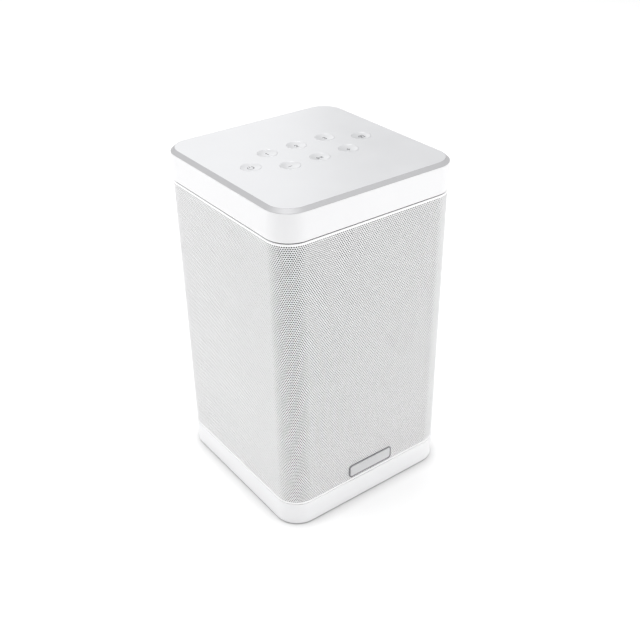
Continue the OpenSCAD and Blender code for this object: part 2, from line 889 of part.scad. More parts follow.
// From the main board, over its top edge and through the partition to the two drivers
woofer_lead = [
    [8, 47.2, 81], [8, 48, 84], [8, 47, 87.5], [8, 44, 89], [8, 40, 89], [8, 36, 89],
    [8, 30, 89], [8, 20, 92], [8, 10, 104], [8, 2, 113], [9, -8, 117], [11, -18, 117], [14, -27, 112], [16.2, -33, 106.2]
];
tweeter_lead = [
    [12, 47.2, 81], [12, 48, 84], [12, 47, 87.5], [12, 44, 89], [12, 40, 89], [12, 36, 89],
    [12, 30, 90], [12, 20, 95], [12, 8, 106], [12, -12, 122], [11, -28, 136], [10, -36, 145], [10, -39.5, 150]
];

module driver_leads() {
    color("firebrick") {
        lead(woofer_lead, lead_d);
        lead(tweeter_lead, lead_d);
    }
}

ribbon_x = 34;
ribbon_w = 10;
ribbon_y = 49;
ribbon_t = 0.5;
ribbon_z = control_z - 1.8;

module control_ribbon() {
    ribbon_foot = 62.5;
    start_y = 14;
    x1 = ribbon_x + ribbon_w;
    color("lightgray") {
        block(ribbon_x, x1, start_y, start_y + ribbon_t, ribbon_z, control_z);
        block(ribbon_x, x1, start_y, ribbon_y + ribbon_t, ribbon_z, ribbon_z + ribbon_t);
        block(ribbon_x, x1, ribbon_y, ribbon_y + ribbon_t, ribbon_foot, ribbon_z + ribbon_t);
        block(ribbon_x, x1, board_front, ribbon_y + ribbon_t, ribbon_foot, ribbon_foot + ribbon_t);
    }
}

base();
feet();
grille();
grille_cloth();
badge();
top_cap();
top_panel();
key_power();
key_one();
key_two();
key_three();
key_source();
key_minus();
key_play();
key_plus();
cabinet();
front_baffle();
cabinet_gasket();
damping_pad();
case_screws();
woofer_frame();
woofer_gasket();
woofer_surround();
woofer_cone();
woofer_dust_cap();
woofer_spider();
woofer_coil();
woofer_top_plate();
woofer_magnet();
woofer_yoke();
tweeter_plate();
tweeter_dome();
tweeter_coil();
tweeter_top_plate();
tweeter_magnet();
tweeter_yoke();
driver_screws();
rear_panel();
rear_screws();
port_tube();
mains_inlet();
inlet_pins();
line_socket();
usb_socket();
network_socket();
control_board();
key_mat();
main_board();
wireless_module();
heat_sink();
power_board();
transformer();
capacitors();
board_screws();
driver_leads();
control_ribbon();
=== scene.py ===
import json
import math
import bpy
import bmesh
from mathutils import Matrix, Vector

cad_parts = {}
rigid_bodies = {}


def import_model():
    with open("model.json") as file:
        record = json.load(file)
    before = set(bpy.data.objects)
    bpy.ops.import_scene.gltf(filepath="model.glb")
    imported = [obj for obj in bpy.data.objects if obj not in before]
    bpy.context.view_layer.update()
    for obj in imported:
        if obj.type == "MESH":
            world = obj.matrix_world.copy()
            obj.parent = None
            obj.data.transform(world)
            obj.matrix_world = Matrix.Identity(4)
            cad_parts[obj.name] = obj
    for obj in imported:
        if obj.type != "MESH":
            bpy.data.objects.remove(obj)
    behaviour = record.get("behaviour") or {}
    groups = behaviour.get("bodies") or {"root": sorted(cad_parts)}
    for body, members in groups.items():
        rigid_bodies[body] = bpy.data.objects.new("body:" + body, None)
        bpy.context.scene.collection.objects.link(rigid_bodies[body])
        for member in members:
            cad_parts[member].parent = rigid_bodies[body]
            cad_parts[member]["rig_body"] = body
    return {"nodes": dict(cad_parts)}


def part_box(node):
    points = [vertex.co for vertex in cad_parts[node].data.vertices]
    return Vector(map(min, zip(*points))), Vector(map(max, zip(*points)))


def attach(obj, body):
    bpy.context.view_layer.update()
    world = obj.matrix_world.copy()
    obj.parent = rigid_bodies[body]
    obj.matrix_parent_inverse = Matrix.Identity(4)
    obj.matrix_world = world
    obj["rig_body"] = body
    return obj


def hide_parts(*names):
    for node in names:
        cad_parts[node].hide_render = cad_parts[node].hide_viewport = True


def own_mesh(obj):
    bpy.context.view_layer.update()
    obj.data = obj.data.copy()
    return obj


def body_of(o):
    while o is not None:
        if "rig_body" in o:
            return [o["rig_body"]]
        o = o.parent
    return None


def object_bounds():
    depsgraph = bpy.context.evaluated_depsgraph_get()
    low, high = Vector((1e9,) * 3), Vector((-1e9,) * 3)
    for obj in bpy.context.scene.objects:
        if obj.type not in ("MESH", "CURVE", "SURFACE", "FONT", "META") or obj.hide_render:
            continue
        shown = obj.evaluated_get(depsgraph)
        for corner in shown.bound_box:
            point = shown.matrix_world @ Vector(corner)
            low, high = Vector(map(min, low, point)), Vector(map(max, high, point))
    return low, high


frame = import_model()
cadLow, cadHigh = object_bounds()
nodes = frame["nodes"]
scene = bpy.context.scene
mm = 0.001
print("frame loaded:", len(nodes), "nodes")

# the camera

cameraSetup = {
    "azimuth": -36.56,      # degrees, 0 looks along +Y
    "elevation": 31.87,
    "roll": -0.64,
    "distance": 0.5723,
    "target": (-0.01205, -0.02633, 0.12113),
    "lens": 51.4,
    "sensor": 36.0,
}


def makeCamera(setup):
    a, e, r = (math.radians(setup[k]) for k in ("azimuth", "elevation", "roll"))
    back = Vector((math.sin(a) * math.cos(e), -math.cos(a) * math.cos(e), math.sin(e)))
    side = Vector((0, 0, 1)).cross(back).normalized()
    up = back.cross(side)
    right = side * math.cos(r) + up * math.sin(r)
    above = up * math.cos(r) - side * math.sin(r)
    data = bpy.data.cameras.new("productCamera")
    data.lens = setup["lens"]
    data.sensor_width = setup["sensor"]
    data.clip_start, data.clip_end = 0.01, 20
    camera = bpy.data.objects.new("productCamera", data)
    turn = Matrix((right, above, back)).transposed()
    place = Vector(setup["target"]) + back * setup["distance"]
    camera.matrix_world = Matrix.Translation(place) @ turn.to_4x4()
    scene.collection.objects.link(camera)
    scene.camera = camera


makeCamera(cameraSetup)

# the floor and the light: a white floor with a painted contact shadow near the base, with soft boxes above,
# left, right and behind

lightSetup = {
    "worldStrength": 0.45,
    "floorColour": (0.98, 0.98, 0.98),
    "floorSize": 8.0,
    "floorGap": 0.02 * mm,      # under the feet
    "floorRoughness": 0.9,
    "floorGloss": 0.1,
    "paintedShadowReach": 9 * mm,     # how far from the base the painted contact shadow reaches
    "paintedShadowShare": 0.4,        # and how strongly the painted shadow darkens the floor
    # name: place, target, size, watts
    "lamps": {
        "topBox": ((0.0, 0.3, 3.0), (0, 0, 0), 2.4, 71.0),
        "leftBox": ((-1.4, 0.7, 0.6), (0, 0, 0.12), 1.0, 7.8),
        "rightBox": ((0.8, -1.4, 0.6), (0, 0, 0.12), 1.0, 9.3),
        "backBox": ((0.56, 1.39, 0.77), (0, 0, 0.2), 0.8, 0.9),
    },
}


def makeLight(setup):
    scene.view_settings.view_transform = "Standard"
    world = bpy.data.worlds.new("studio")
    world.use_nodes = True
    sky = world.node_tree.nodes["Background"]
    sky.inputs["Color"].default_value = (1, 1, 1, 1)
    sky.inputs["Strength"].default_value = setup["worldStrength"]
    scene.world = world
    for name, (place, target, size, watts) in setup["lamps"].items():
        data = bpy.data.lights.new(name, "AREA")
        data.size = size
        data.energy = watts
        lamp = bpy.data.objects.new(name, data)
        away = Vector(place) - Vector(target)
        lamp.matrix_world = Matrix.Translation(place) @ away.to_track_quat("Z", "Y").to_matrix().to_4x4()
        scene.collection.objects.link(lamp)


def makeFloor(setup):
    half = setup["floorSize"] / 2
    z = cadLow.z - setup["floorGap"]
    mesh = bpy.data.meshes.new("floor")
    corners = [(-half, -half, z), (half, -half, z), (half, half, z), (-half, half, z)]
    mesh.from_pydata(corners, [], [(0, 1, 2, 3)])
    floor = bpy.data.objects.new("floor", mesh)
    scene.collection.objects.link(floor)
    paper = bpy.data.materials.new("floorPaper")
    paper.use_nodes = True
    shader = paper.node_tree.nodes["Principled BSDF"]
    shader.inputs["Roughness"].default_value = setup["floorRoughness"]
    shader.inputs["Specular IOR Level"].default_value = setup["floorGloss"]
    tree = paper.node_tree
    # painted contact shadow: an occlusion node darkens the floor's colour near the base
    contact = tree.nodes.new("ShaderNodeAmbientOcclusion")
    contact.inputs["Color"].default_value = (*setup["floorColour"], 1)
    contact.inputs["Distance"].default_value = setup["paintedShadowReach"]
    blend = tree.nodes.new("ShaderNodeMix")
    blend.data_type = "RGBA"
    blend.inputs["Factor"].default_value = setup["paintedShadowShare"]
    blend.inputs["A"].default_value = (*setup["floorColour"], 1)
    tree.links.new(contact.outputs["Color"], blend.inputs["B"])
    tree.links.new(blend.outputs["Result"], shader.inputs["Base Color"])
    mesh.materials.append(paper)


makeLight(lightSetup)
makeFloor(lightSetup)
print("camera, light and floor made")

# shared effects, each built once as a shader group


def calc(tree, operation, *values):     # a Math node fed by sockets or plain numbers
    node = tree.nodes.new("ShaderNodeMath")
    node.operation = operation
    for socket, value in zip(node.inputs, values):
        if isinstance(value, (int, float)):
            socket.default_value = value
        else:
            tree.links.new(value, socket)
    return node.outputs[0]


def newGroup(name, kind, inputs, outputs):
    group = bpy.data.node_groups.new(name, kind)
    for label, socketType, value in inputs:
        socket = group.interface.new_socket(name=label, in_out="INPUT", socket_type=socketType)
        if value is not None:
            socket.default_value = value
    for label, socketType in outputs:
        group.interface.new_socket(name=label, in_out="OUTPUT", socket_type=socketType)
    return group, group.nodes.new("NodeGroupInput").outputs, group.nodes.new("NodeGroupOutput").inputs


def noise(tree, vector, scale, detail=2.0):
    node = tree.nodes.new("ShaderNodeTexNoise")
    node.inputs["Detail"].default_value = detail
    tree.links.new(vector, node.inputs["Vector"])
    if isinstance(scale, (int, float)):
        node.inputs["Scale"].default_value = scale
    else:
        tree.links.new(scale, node.inputs["Scale"])
    return node.outputs[0]


def makeSurfaceGrain():
    # fine grain with slow changes of tone and gloss, as moulded, painted or blasted surfaces have
    group, given, out = newGroup("surfaceGrain", "ShaderNodeTree", [
        ("Colour", "NodeSocketColor", (0.8, 0.8, 0.8, 1)), ("Grain Scale", "NodeSocketFloat", 2500.0),
        ("Tone Scale", "NodeSocketFloat", 40.0), ("Tone Change", "NodeSocketFloat", 0.03),
        ("Roughness", "NodeSocketFloat", 0.5), ("Gloss Change", "NodeSocketFloat", 0.08),
    ], [("Colour", "NodeSocketColor"), ("Roughness", "NodeSocketFloat"), ("Height", "NodeSocketFloat")])
    place = group.nodes.new("ShaderNodeTexCoord").outputs["Object"]
    fine = noise(group, place, given["Grain Scale"], 3.0)
    slow = noise(group, place, given["Tone Scale"], 2.0)
    lift = calc(group, "MULTIPLY", calc(group, "SUBTRACT", slow, 0.5), given["Tone Change"])
    lift = calc(group, "ADD", lift,
        calc(group, "MULTIPLY", calc(group, "SUBTRACT", fine, 0.5), given["Tone Change"]))
    tone = group.nodes.new("ShaderNodeHueSaturation")
    group.links.new(given["Colour"], tone.inputs["Color"])
    group.links.new(calc(group, "ADD", lift, 1.0), tone.inputs["Value"])
    group.links.new(tone.outputs[0], out["Colour"])
    gloss = calc(group, "MULTIPLY", calc(group, "SUBTRACT", slow, 0.5), given["Gloss Change"])
    group.links.new(calc(group, "ADD", gloss, given["Roughness"]), out["Roughness"])
    group.links.new(fine, out["Height"])
    return group


def makeBrushedLines():
    # fine lines along one direction, as brushed metal, rolled paper or fibres have
    group, given, out = newGroup("brushedLines", "ShaderNodeTree", [
        ("Stretch", "NodeSocketVector", (60.0, 4000.0, 4000.0)),
        ("Colour", "NodeSocketColor", (0.7, 0.7, 0.7, 1)),
        ("Tone Change", "NodeSocketFloat", 0.1), ("Roughness", "NodeSocketFloat", 0.35),
        ("Gloss Change", "NodeSocketFloat", 0.2),
    ], [("Colour", "NodeSocketColor"), ("Roughness", "NodeSocketFloat"), ("Height", "NodeSocketFloat")])
    place = group.nodes.new("ShaderNodeTexCoord").outputs["Object"]
    stretch = group.nodes.new("ShaderNodeVectorMath")
    stretch.operation = "MULTIPLY"
    group.links.new(place, stretch.inputs[0])
    group.links.new(given["Stretch"], stretch.inputs[1])
    line = noise(group, stretch.outputs[0], 1.0, 3.0)
    lift = calc(group, "MULTIPLY", calc(group, "SUBTRACT", line, 0.5), given["Tone Change"])
    tone = group.nodes.new("ShaderNodeHueSaturation")
    group.links.new(given["Colour"], tone.inputs["Color"])
    group.links.new(calc(group, "ADD", lift, 1.0), tone.inputs["Value"])
    group.links.new(tone.outputs[0], out["Colour"])
    gloss = calc(group, "MULTIPLY", calc(group, "SUBTRACT", line, 0.5), given["Gloss Change"])
    group.links.new(calc(group, "ADD", gloss, given["Roughness"]), out["Roughness"])
    group.links.new(line, out["Height"])
    return group


def makeWeave():
    # plain weave on the cloth's own map, which is in metres
    group, given, out = newGroup("weave", "ShaderNodeTree", [
        ("Threads per Metre", "NodeSocketFloat", 2200.0),
        ("Thread", "NodeSocketColor", (0.02, 0.02, 0.02, 1)),
        ("Gap", "NodeSocketColor", (0.004, 0.004, 0.004, 1)),
    ], [("Colour", "NodeSocketColor"), ("Height", "NodeSocketFloat")])
    parts = group.nodes.new("ShaderNodeSeparateXYZ")
    group.links.new(group.nodes.new("ShaderNodeTexCoord").outputs["UV"], parts.inputs[0])
    across = calc(group, "MULTIPLY", parts.outputs[0], given["Threads per Metre"])
    along = calc(group, "MULTIPLY", parts.outputs[1], given["Threads per Metre"])
    cell = calc(group, "ADD", calc(group, "FLOOR", across), calc(group, "FLOOR", along))
    over = calc(group, "PINGPONG", cell, 1.0)       # 1 where the upright thread is on top
    upright = calc(group, "SINE", calc(group, "MULTIPLY", calc(group, "FRACT", across), math.pi))
    level = calc(group, "SINE", calc(group, "MULTIPLY", calc(group, "FRACT", along), math.pi))
    height = calc(group, "ADD", calc(group, "MULTIPLY", over, upright),
                  calc(group, "MULTIPLY", calc(group, "SUBTRACT", 1.0, over), level))
    blend = group.nodes.new("ShaderNodeMix")
    blend.data_type = "RGBA"
    group.links.new(height, blend.inputs["Factor"])
    group.links.new(given["Gap"], blend.inputs[6])
    group.links.new(given["Thread"], blend.inputs[7])
    group.links.new(blend.outputs[2], out["Colour"])
    group.links.new(height, out["Height"])
    return group


effects = {"grain": makeSurfaceGrain(), "lines": makeBrushedLines(), "weave": makeWeave()}

# every finish: its effect, the values that stay on the shader, and the values that go to the effect

finishSetup = {
    "whitePlastic": {"colour": (0.84, 0.84, 0.85), "roughness": 0.42, "bump": 0.02, "grain": 1800.0,
        "tone": 0.015},
    "whiteSheet": {"colour": (0.97, 0.97, 0.975), "roughness": 0.5, "bump": 0.02, "grain": 2600.0,
        "tone": 0.02},
    "silverPanel": {"colour": (0.81, 0.815, 0.83), "roughness": 0.34, "metallic": 0.5, "bump": 0.04,
                    "grain": 5200.0, "tone": 0.03},
    # painted reflection: the panel's silver darkened to stand in for the dark reflection the slope shows
    "slopePaintedReflection": {"colour": (0.49, 0.49, 0.50), "roughness": 0.42, "metallic": 0.25, "bump": 0.01,
                   "grain": 5200.0, "tone": 0.02},
    "silverKeys": {"colour": (0.83, 0.835, 0.85), "roughness": 0.3, "metallic": 0.6, "bump": 0.02,
                   "grain": 5200.0, "tone": 0.02},
    "iconInk": {"colour": (0.09, 0.09, 0.10), "roughness": 0.6, "bump": 0.01, "grain": 6000.0, "tone": 0.05},
    "badgeRim": {"colour": (0.26, 0.26, 0.27), "roughness": 0.22, "metallic": 1.0, "bump": 0.01,
                 "grain": 3000.0, "tone": 0.02},
    "badgeField": {"effect": "lines", "colour": (0.64, 0.64, 0.65), "roughness": 0.34, "metallic": 1.0,
                   "bump": 0.12, "stretch": (90.0, 5200.0, 5200.0), "tone": 0.3},
    "footRubber": {"colour": (0.035, 0.035, 0.037), "roughness": 0.82, "bump": 0.1, "grain": 1500.0,
        "tone": 0.2},
    "matSilicone": {"colour": (0.42, 0.43, 0.44), "roughness": 0.62, "bump": 0.04, "grain": 900.0,
        "tone": 0.06},
    "grilleCloth": {"effect": "weave", "colour": (0.022, 0.022, 0.024), "gap": (0.003, 0.003, 0.003),
                    "roughness": 0.92, "bump": 0.5, "threads": 2200.0, "sheen": 0.15},
    "blackPlastic": {"colour": (0.028, 0.028, 0.03), "roughness": 0.55, "bump": 0.09, "grain": 1300.0,
        "tone": 0.12},
    "socketPlastic": {"colour": (0.018, 0.018, 0.02), "roughness": 0.38, "bump": 0.03, "grain": 2400.0,
        "tone": 0.1},
    "wadding": {"effect": "lines", "colour": (0.82, 0.81, 0.78), "roughness": 0.95, "bump": 0.8,
                "stretch": (700.0, 1800.0, 260.0), "tone": 0.25, "sheen": 0.4},
    "screwSteel": {"colour": (0.07, 0.07, 0.075), "roughness": 0.36, "metallic": 1.0, "bump": 0.03,
                   "grain": 2600.0, "tone": 0.2},
    "brightSteel": {"effect": "lines", "colour": (0.72, 0.72, 0.73), "roughness": 0.28, "metallic": 1.0,
                    "bump": 0.05, "stretch": (3600.0, 3600.0, 140.0), "tone": 0.12},
    "framePaint": {"colour": (0.03, 0.03, 0.032), "roughness": 0.48, "bump": 0.14, "grain": 900.0,
        "tone": 0.15},
    "ferrite": {"colour": (0.05, 0.047, 0.045), "roughness": 0.72, "bump": 0.2, "grain": 700.0, "tone": 0.3},
    "conePaper": {"colour": (0.09, 0.09, 0.092), "roughness": 0.86, "bump": 0.35, "grain": 600.0,
        "tone": 0.35},
    "dustCapPlastic": {"colour": (0.035, 0.035, 0.037), "roughness": 0.3, "bump": 0.02, "grain": 2000.0,
        "tone": 0.1},
    "spiderCloth": {"colour": (0.55, 0.36, 0.13), "roughness": 0.9, "bump": 0.5, "grain": 1400.0,
        "tone": 0.3},
    "coilCopper": {"effect": "lines", "colour": (0.72, 0.34, 0.17), "roughness": 0.32, "metallic": 1.0,
                   "bump": 0.3, "stretch": (120.0, 5200.0, 120.0), "tone": 0.3},
    "circuitBoard": {"colour": (0.015, 0.14, 0.06), "roughness": 0.36, "bump": 0.06, "grain": 700.0,
        "tone": 0.3},
    "sinkAluminium": {"effect": "lines", "colour": (0.70, 0.71, 0.72), "roughness": 0.36, "metallic": 1.0,
                      "bump": 0.1, "stretch": (4200.0, 4200.0, 60.0), "tone": 0.15},
    "leadInsulation": {"colour": (0.42, 0.03, 0.025), "roughness": 0.5, "bump": 0.03, "grain": 1800.0,
        "tone": 0.1},
    "ribbonGrey": {"effect": "lines", "colour": (0.50, 0.51, 0.52), "roughness": 0.5, "bump": 0.2,
                   "stretch": (1600.0, 20.0, 20.0), "tone": 0.2},
}


def makeFinish(name, setup):
    material = bpy.data.materials.new(name)
    material.use_nodes = True
    tree = material.node_tree
    shader = tree.nodes["Principled BSDF"]
    effect = tree.nodes.new("ShaderNodeGroup")
    kind = setup.get("effect", "grain")
    effect.node_tree = effects[kind]
    if kind == "weave":
        effect.inputs["Threads per Metre"].default_value = setup["threads"]
        effect.inputs["Thread"].default_value = (*setup["colour"], 1)
        effect.inputs["Gap"].default_value = (*setup["gap"], 1)
        shader.inputs["Roughness"].default_value = setup["roughness"]
    else:
        effect.inputs["Colour"].default_value = (*setup["colour"], 1)
        effect.inputs["Roughness"].default_value = setup["roughness"]
        effect.inputs["Tone Change"].default_value = setup["tone"]
        if kind == "grain":
            effect.inputs["Grain Scale"].default_value = setup["grain"]
        else:
            effect.inputs["Stretch"].default_value = setup["stretch"]
        tree.links.new(effect.outputs["Roughness"], shader.inputs["Roughness"])
    shader.inputs["Metallic"].default_value = setup.get("metallic", 0.0)
    shader.inputs["Sheen Weight"].default_value = setup.get("sheen", 0.0)
    tree.links.new(effect.outputs["Colour"], shader.inputs["Base Color"])
    bump = tree.nodes.new("ShaderNodeBump")
    bump.inputs["Strength"].default_value = setup["bump"]
    bump.inputs["Distance"].default_value = 0.1 * mm
    tree.links.new(effect.outputs["Height"], bump.inputs["Height"])
    tree.links.new(bump.outputs["Normal"], shader.inputs["Normal"])
    return material


finishes = {name: makeFinish(name, setup) for name, setup in finishSetup.items()}
print("finishes made:", len(finishes))

# shape tools: rounded profiles, shells swept round a rounded rectangle, and turned parts

past = 1 * mm       # how far a cutter passes the face it cuts
frontwards = Matrix.Rotation(math.radians(90), 4, "X")      # what was up points out of the front
backwards = Matrix.Rotation(math.radians(-90), 4, "X")      # what was up points out of the back


def softCorners(points, steps=5, closed=False):     # points are (across, up, radius)
    line = []
    for i, (x, z, radius) in enumerate(points):
        if radius <= 0 or (not closed and i in (0, len(points) - 1)):
            line.append((x, z))
            continue
        corner = Vector((x, z))
        before = Vector(points[i - 1][:2]) - corner
        after = Vector(points[(i + 1) % len(points)][:2]) - corner
        half = before.angle(after) / 2
        cut = min(radius / math.tan(half), 0.49 * before.length, 0.49 * after.length)
        middle = corner + (before.normalized() + after.normalized()).normalized() * (cut / math.cos(half))
        start = corner + before.normalized() * cut - middle
        end = corner + after.normalized() * cut - middle
        turn = math.atan2(start.x * end.y - start.y * end.x, start.dot(end))
        for k in range(steps + 1):
            c, s = math.cos(turn * k / steps), math.sin(turn * k / steps)
            line.append((middle.x + start.x * c - start.y * s, middle.y + start.x * s + start.y * c))
    return line


def rectLoop(halfX, halfY, radius, cornerSteps):
    loop = []
    for k, (sx, sy) in enumerate([(1, 1), (-1, 1), (-1, -1), (1, -1)]):
        for j in range(cornerSteps + 1):
            a = math.pi / 2 * (k + j / cornerSteps)
            loop.append((sx * (halfX - radius) + radius * math.cos(a),
                sy * (halfY - radius) + radius * math.sin(a)))
    return loop


def bridge(bm, first, second, material=0):
    count = len(first)
    for i in range(count):
        j = (i + 1) % count
        corners = []
        for vert in (first[i], first[j], second[j], second[i]):
            if vert not in corners:
                corners.append(vert)
        if len(corners) > 2:
            bm.faces.new(corners).material_index = material


def sweepRect(profile, halfX, halfY, radius, cornerSteps=20, closed=False, bm=None, bands=()):
    # profile is a line of (inset, height); bands gives some of its stretches another material
    bm = bm or bmesh.new()
    rings = []
    for inset, z in profile:
        r = max(radius - inset, 0.05 * mm)
        rings.append([bm.verts.new((x, y, z)) for x,
            y in rectLoop(halfX - inset, halfY - inset, r, cornerSteps)])
    for i in range(len(rings) - (0 if closed else 1)):
        bridge(bm, rings[i], rings[(i + 1) % len(rings)], 1 if i in bands else 0)
    if not closed:
        bm.faces.new(rings[0])
        bm.faces.new(rings[-1])
    return bm


def turned(profile, centre=(0, 0, 0), turn=None, segments=64, bm=None, sides=None):
    # profile is (radius, height), closed on itself or ending on the axis; sides makes some rings polygons
    bm = bm or bmesh.new()
    place = Matrix.Translation(centre) @ (turn or Matrix.Identity(4))
    rings = []
    for index, (radius, z) in enumerate(profile):
        if radius < 1e-7:
            rings.append([bm.verts.new(place @ Vector((0, 0, z)))] * segments)
            continue
        ring = []
        for k in range(segments):
            a = 2 * math.pi * k / segments
            reach = radius
            if sides and index in sides:
                step = 2 * math.pi / sides[index]
                reach = radius * math.cos(step / 2) / math.cos((a % step) - step / 2)
            ring.append(bm.verts.new(place @ Vector((reach * math.cos(a), reach * math.sin(a), z))))
        rings.append(ring)
    loops = len(rings) if profile[0][0] > 1e-7 else len(rings) - 1
    for i in range(loops):
        bridge(bm, rings[i], rings[(i + 1) % len(rings)])
    return bm


def settle(obj):        # modifiers become plain mesh
    bpy.context.view_layer.update()
    mesh = bpy.data.meshes.new_from_object(obj.evaluated_get(bpy.context.evaluated_depsgraph_get()))
    obj.modifiers.clear()
    obj.data = mesh
    return obj


def looseObject(name, bm, outwards=True):
    if outwards:
        bmesh.ops.recalc_face_normals(bm, faces=bm.faces)
    mesh = bpy.data.meshes.new(name)
    bm.to_mesh(mesh)
    bm.free()
    obj = bpy.data.objects.new(name, mesh)
    scene.collection.objects.link(obj)
    return obj


def carve(obj, cutters, operation="DIFFERENCE"):
    for bm in cutters:
        tool = looseObject("cutter", bm)
        cut = obj.modifiers.new("cut", "BOOLEAN")
        cut.operation = operation
        cut.solver = "EXACT"
        cut.object = tool
        settle(obj)
        bpy.data.objects.remove(tool)
    return obj


def finishPiece(obj, finish, stands=(), body="enclosure", smooth=38.0, second=None):
    mesh = obj.data
    mesh.shade_smooth()
    mesh.set_sharp_from_angle(angle=math.radians(smooth))
    if not mesh.materials:
        for name in (finish, second):
            if name:
                mesh.materials.append(finishes[name])
    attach(obj, body)
    if stands:
        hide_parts(*stands)
    return obj


def makeRepeatTree():
    # copies of one part at every vertex of the object that carries the modifier
    tree, given, out = newGroup("repeatPart", "GeometryNodeTree", [
        ("Places", "NodeSocketGeometry", None), ("Part", "NodeSocketObject", None),
        ("Finish", "NodeSocketMaterial", None),
    ], [("Geometry", "NodeSocketGeometry")])
    info = tree.nodes.new("GeometryNodeObjectInfo")
    tree.links.new(given["Part"], info.inputs["Object"])
    copies = tree.nodes.new("GeometryNodeInstanceOnPoints")
    tree.links.new(given["Places"], copies.inputs["Points"])
    tree.links.new(info.outputs["Geometry"], copies.inputs["Instance"])
    real = tree.nodes.new("GeometryNodeRealizeInstances")
    tree.links.new(copies.outputs[0], real.inputs[0])
    paint = tree.nodes.new("GeometryNodeSetMaterial")
    tree.links.new(real.outputs[0], paint.inputs["Geometry"])
    tree.links.new(given["Finish"], paint.inputs["Material"])
    tree.links.new(paint.outputs[0], out["Geometry"])
    return tree


def socketIds(tree):
    return {item.name: item.identifier for item in tree.interface.items_tree if item.in_out == "INPUT"}


repeatTree = makeRepeatTree()


def repeatPart(name, bm, places, finish, stands=(), body="enclosure"):
    part = looseObject(name + "Part", bm)
    mesh = bpy.data.meshes.new(name)
    mesh.from_pydata(places, [], [])
    obj = bpy.data.objects.new(name, mesh)
    scene.collection.objects.link(obj)
    copies = obj.modifiers.new("repeatPart", "NODES")
    copies.node_group = repeatTree
    ids = socketIds(repeatTree)
    copies[ids["Part"]] = part
    copies[ids["Finish"]] = finishes[finish]
    settle(obj)
    bpy.data.objects.remove(part)
    return finishPiece(obj, finish, stands, body)


# the grille: a perforated sheet laid out flat by Geometry Nodes, then wrapped round the column

grilleSetup = {
    "pitch": 1.35 * mm,             # distance between holes in a row
    "rowSpacing": 1.1691 * mm,
    "holeRadius": 0.56 * mm,        # to the corners of each hole
    "columns": 296,
    "columnsPerPiece": 33,
    "rows": 156,
    "footMargin": 1.2 * mm,
    "sheet": 0.5 * mm,
    "cornerRadius": 15.7 * mm,
}


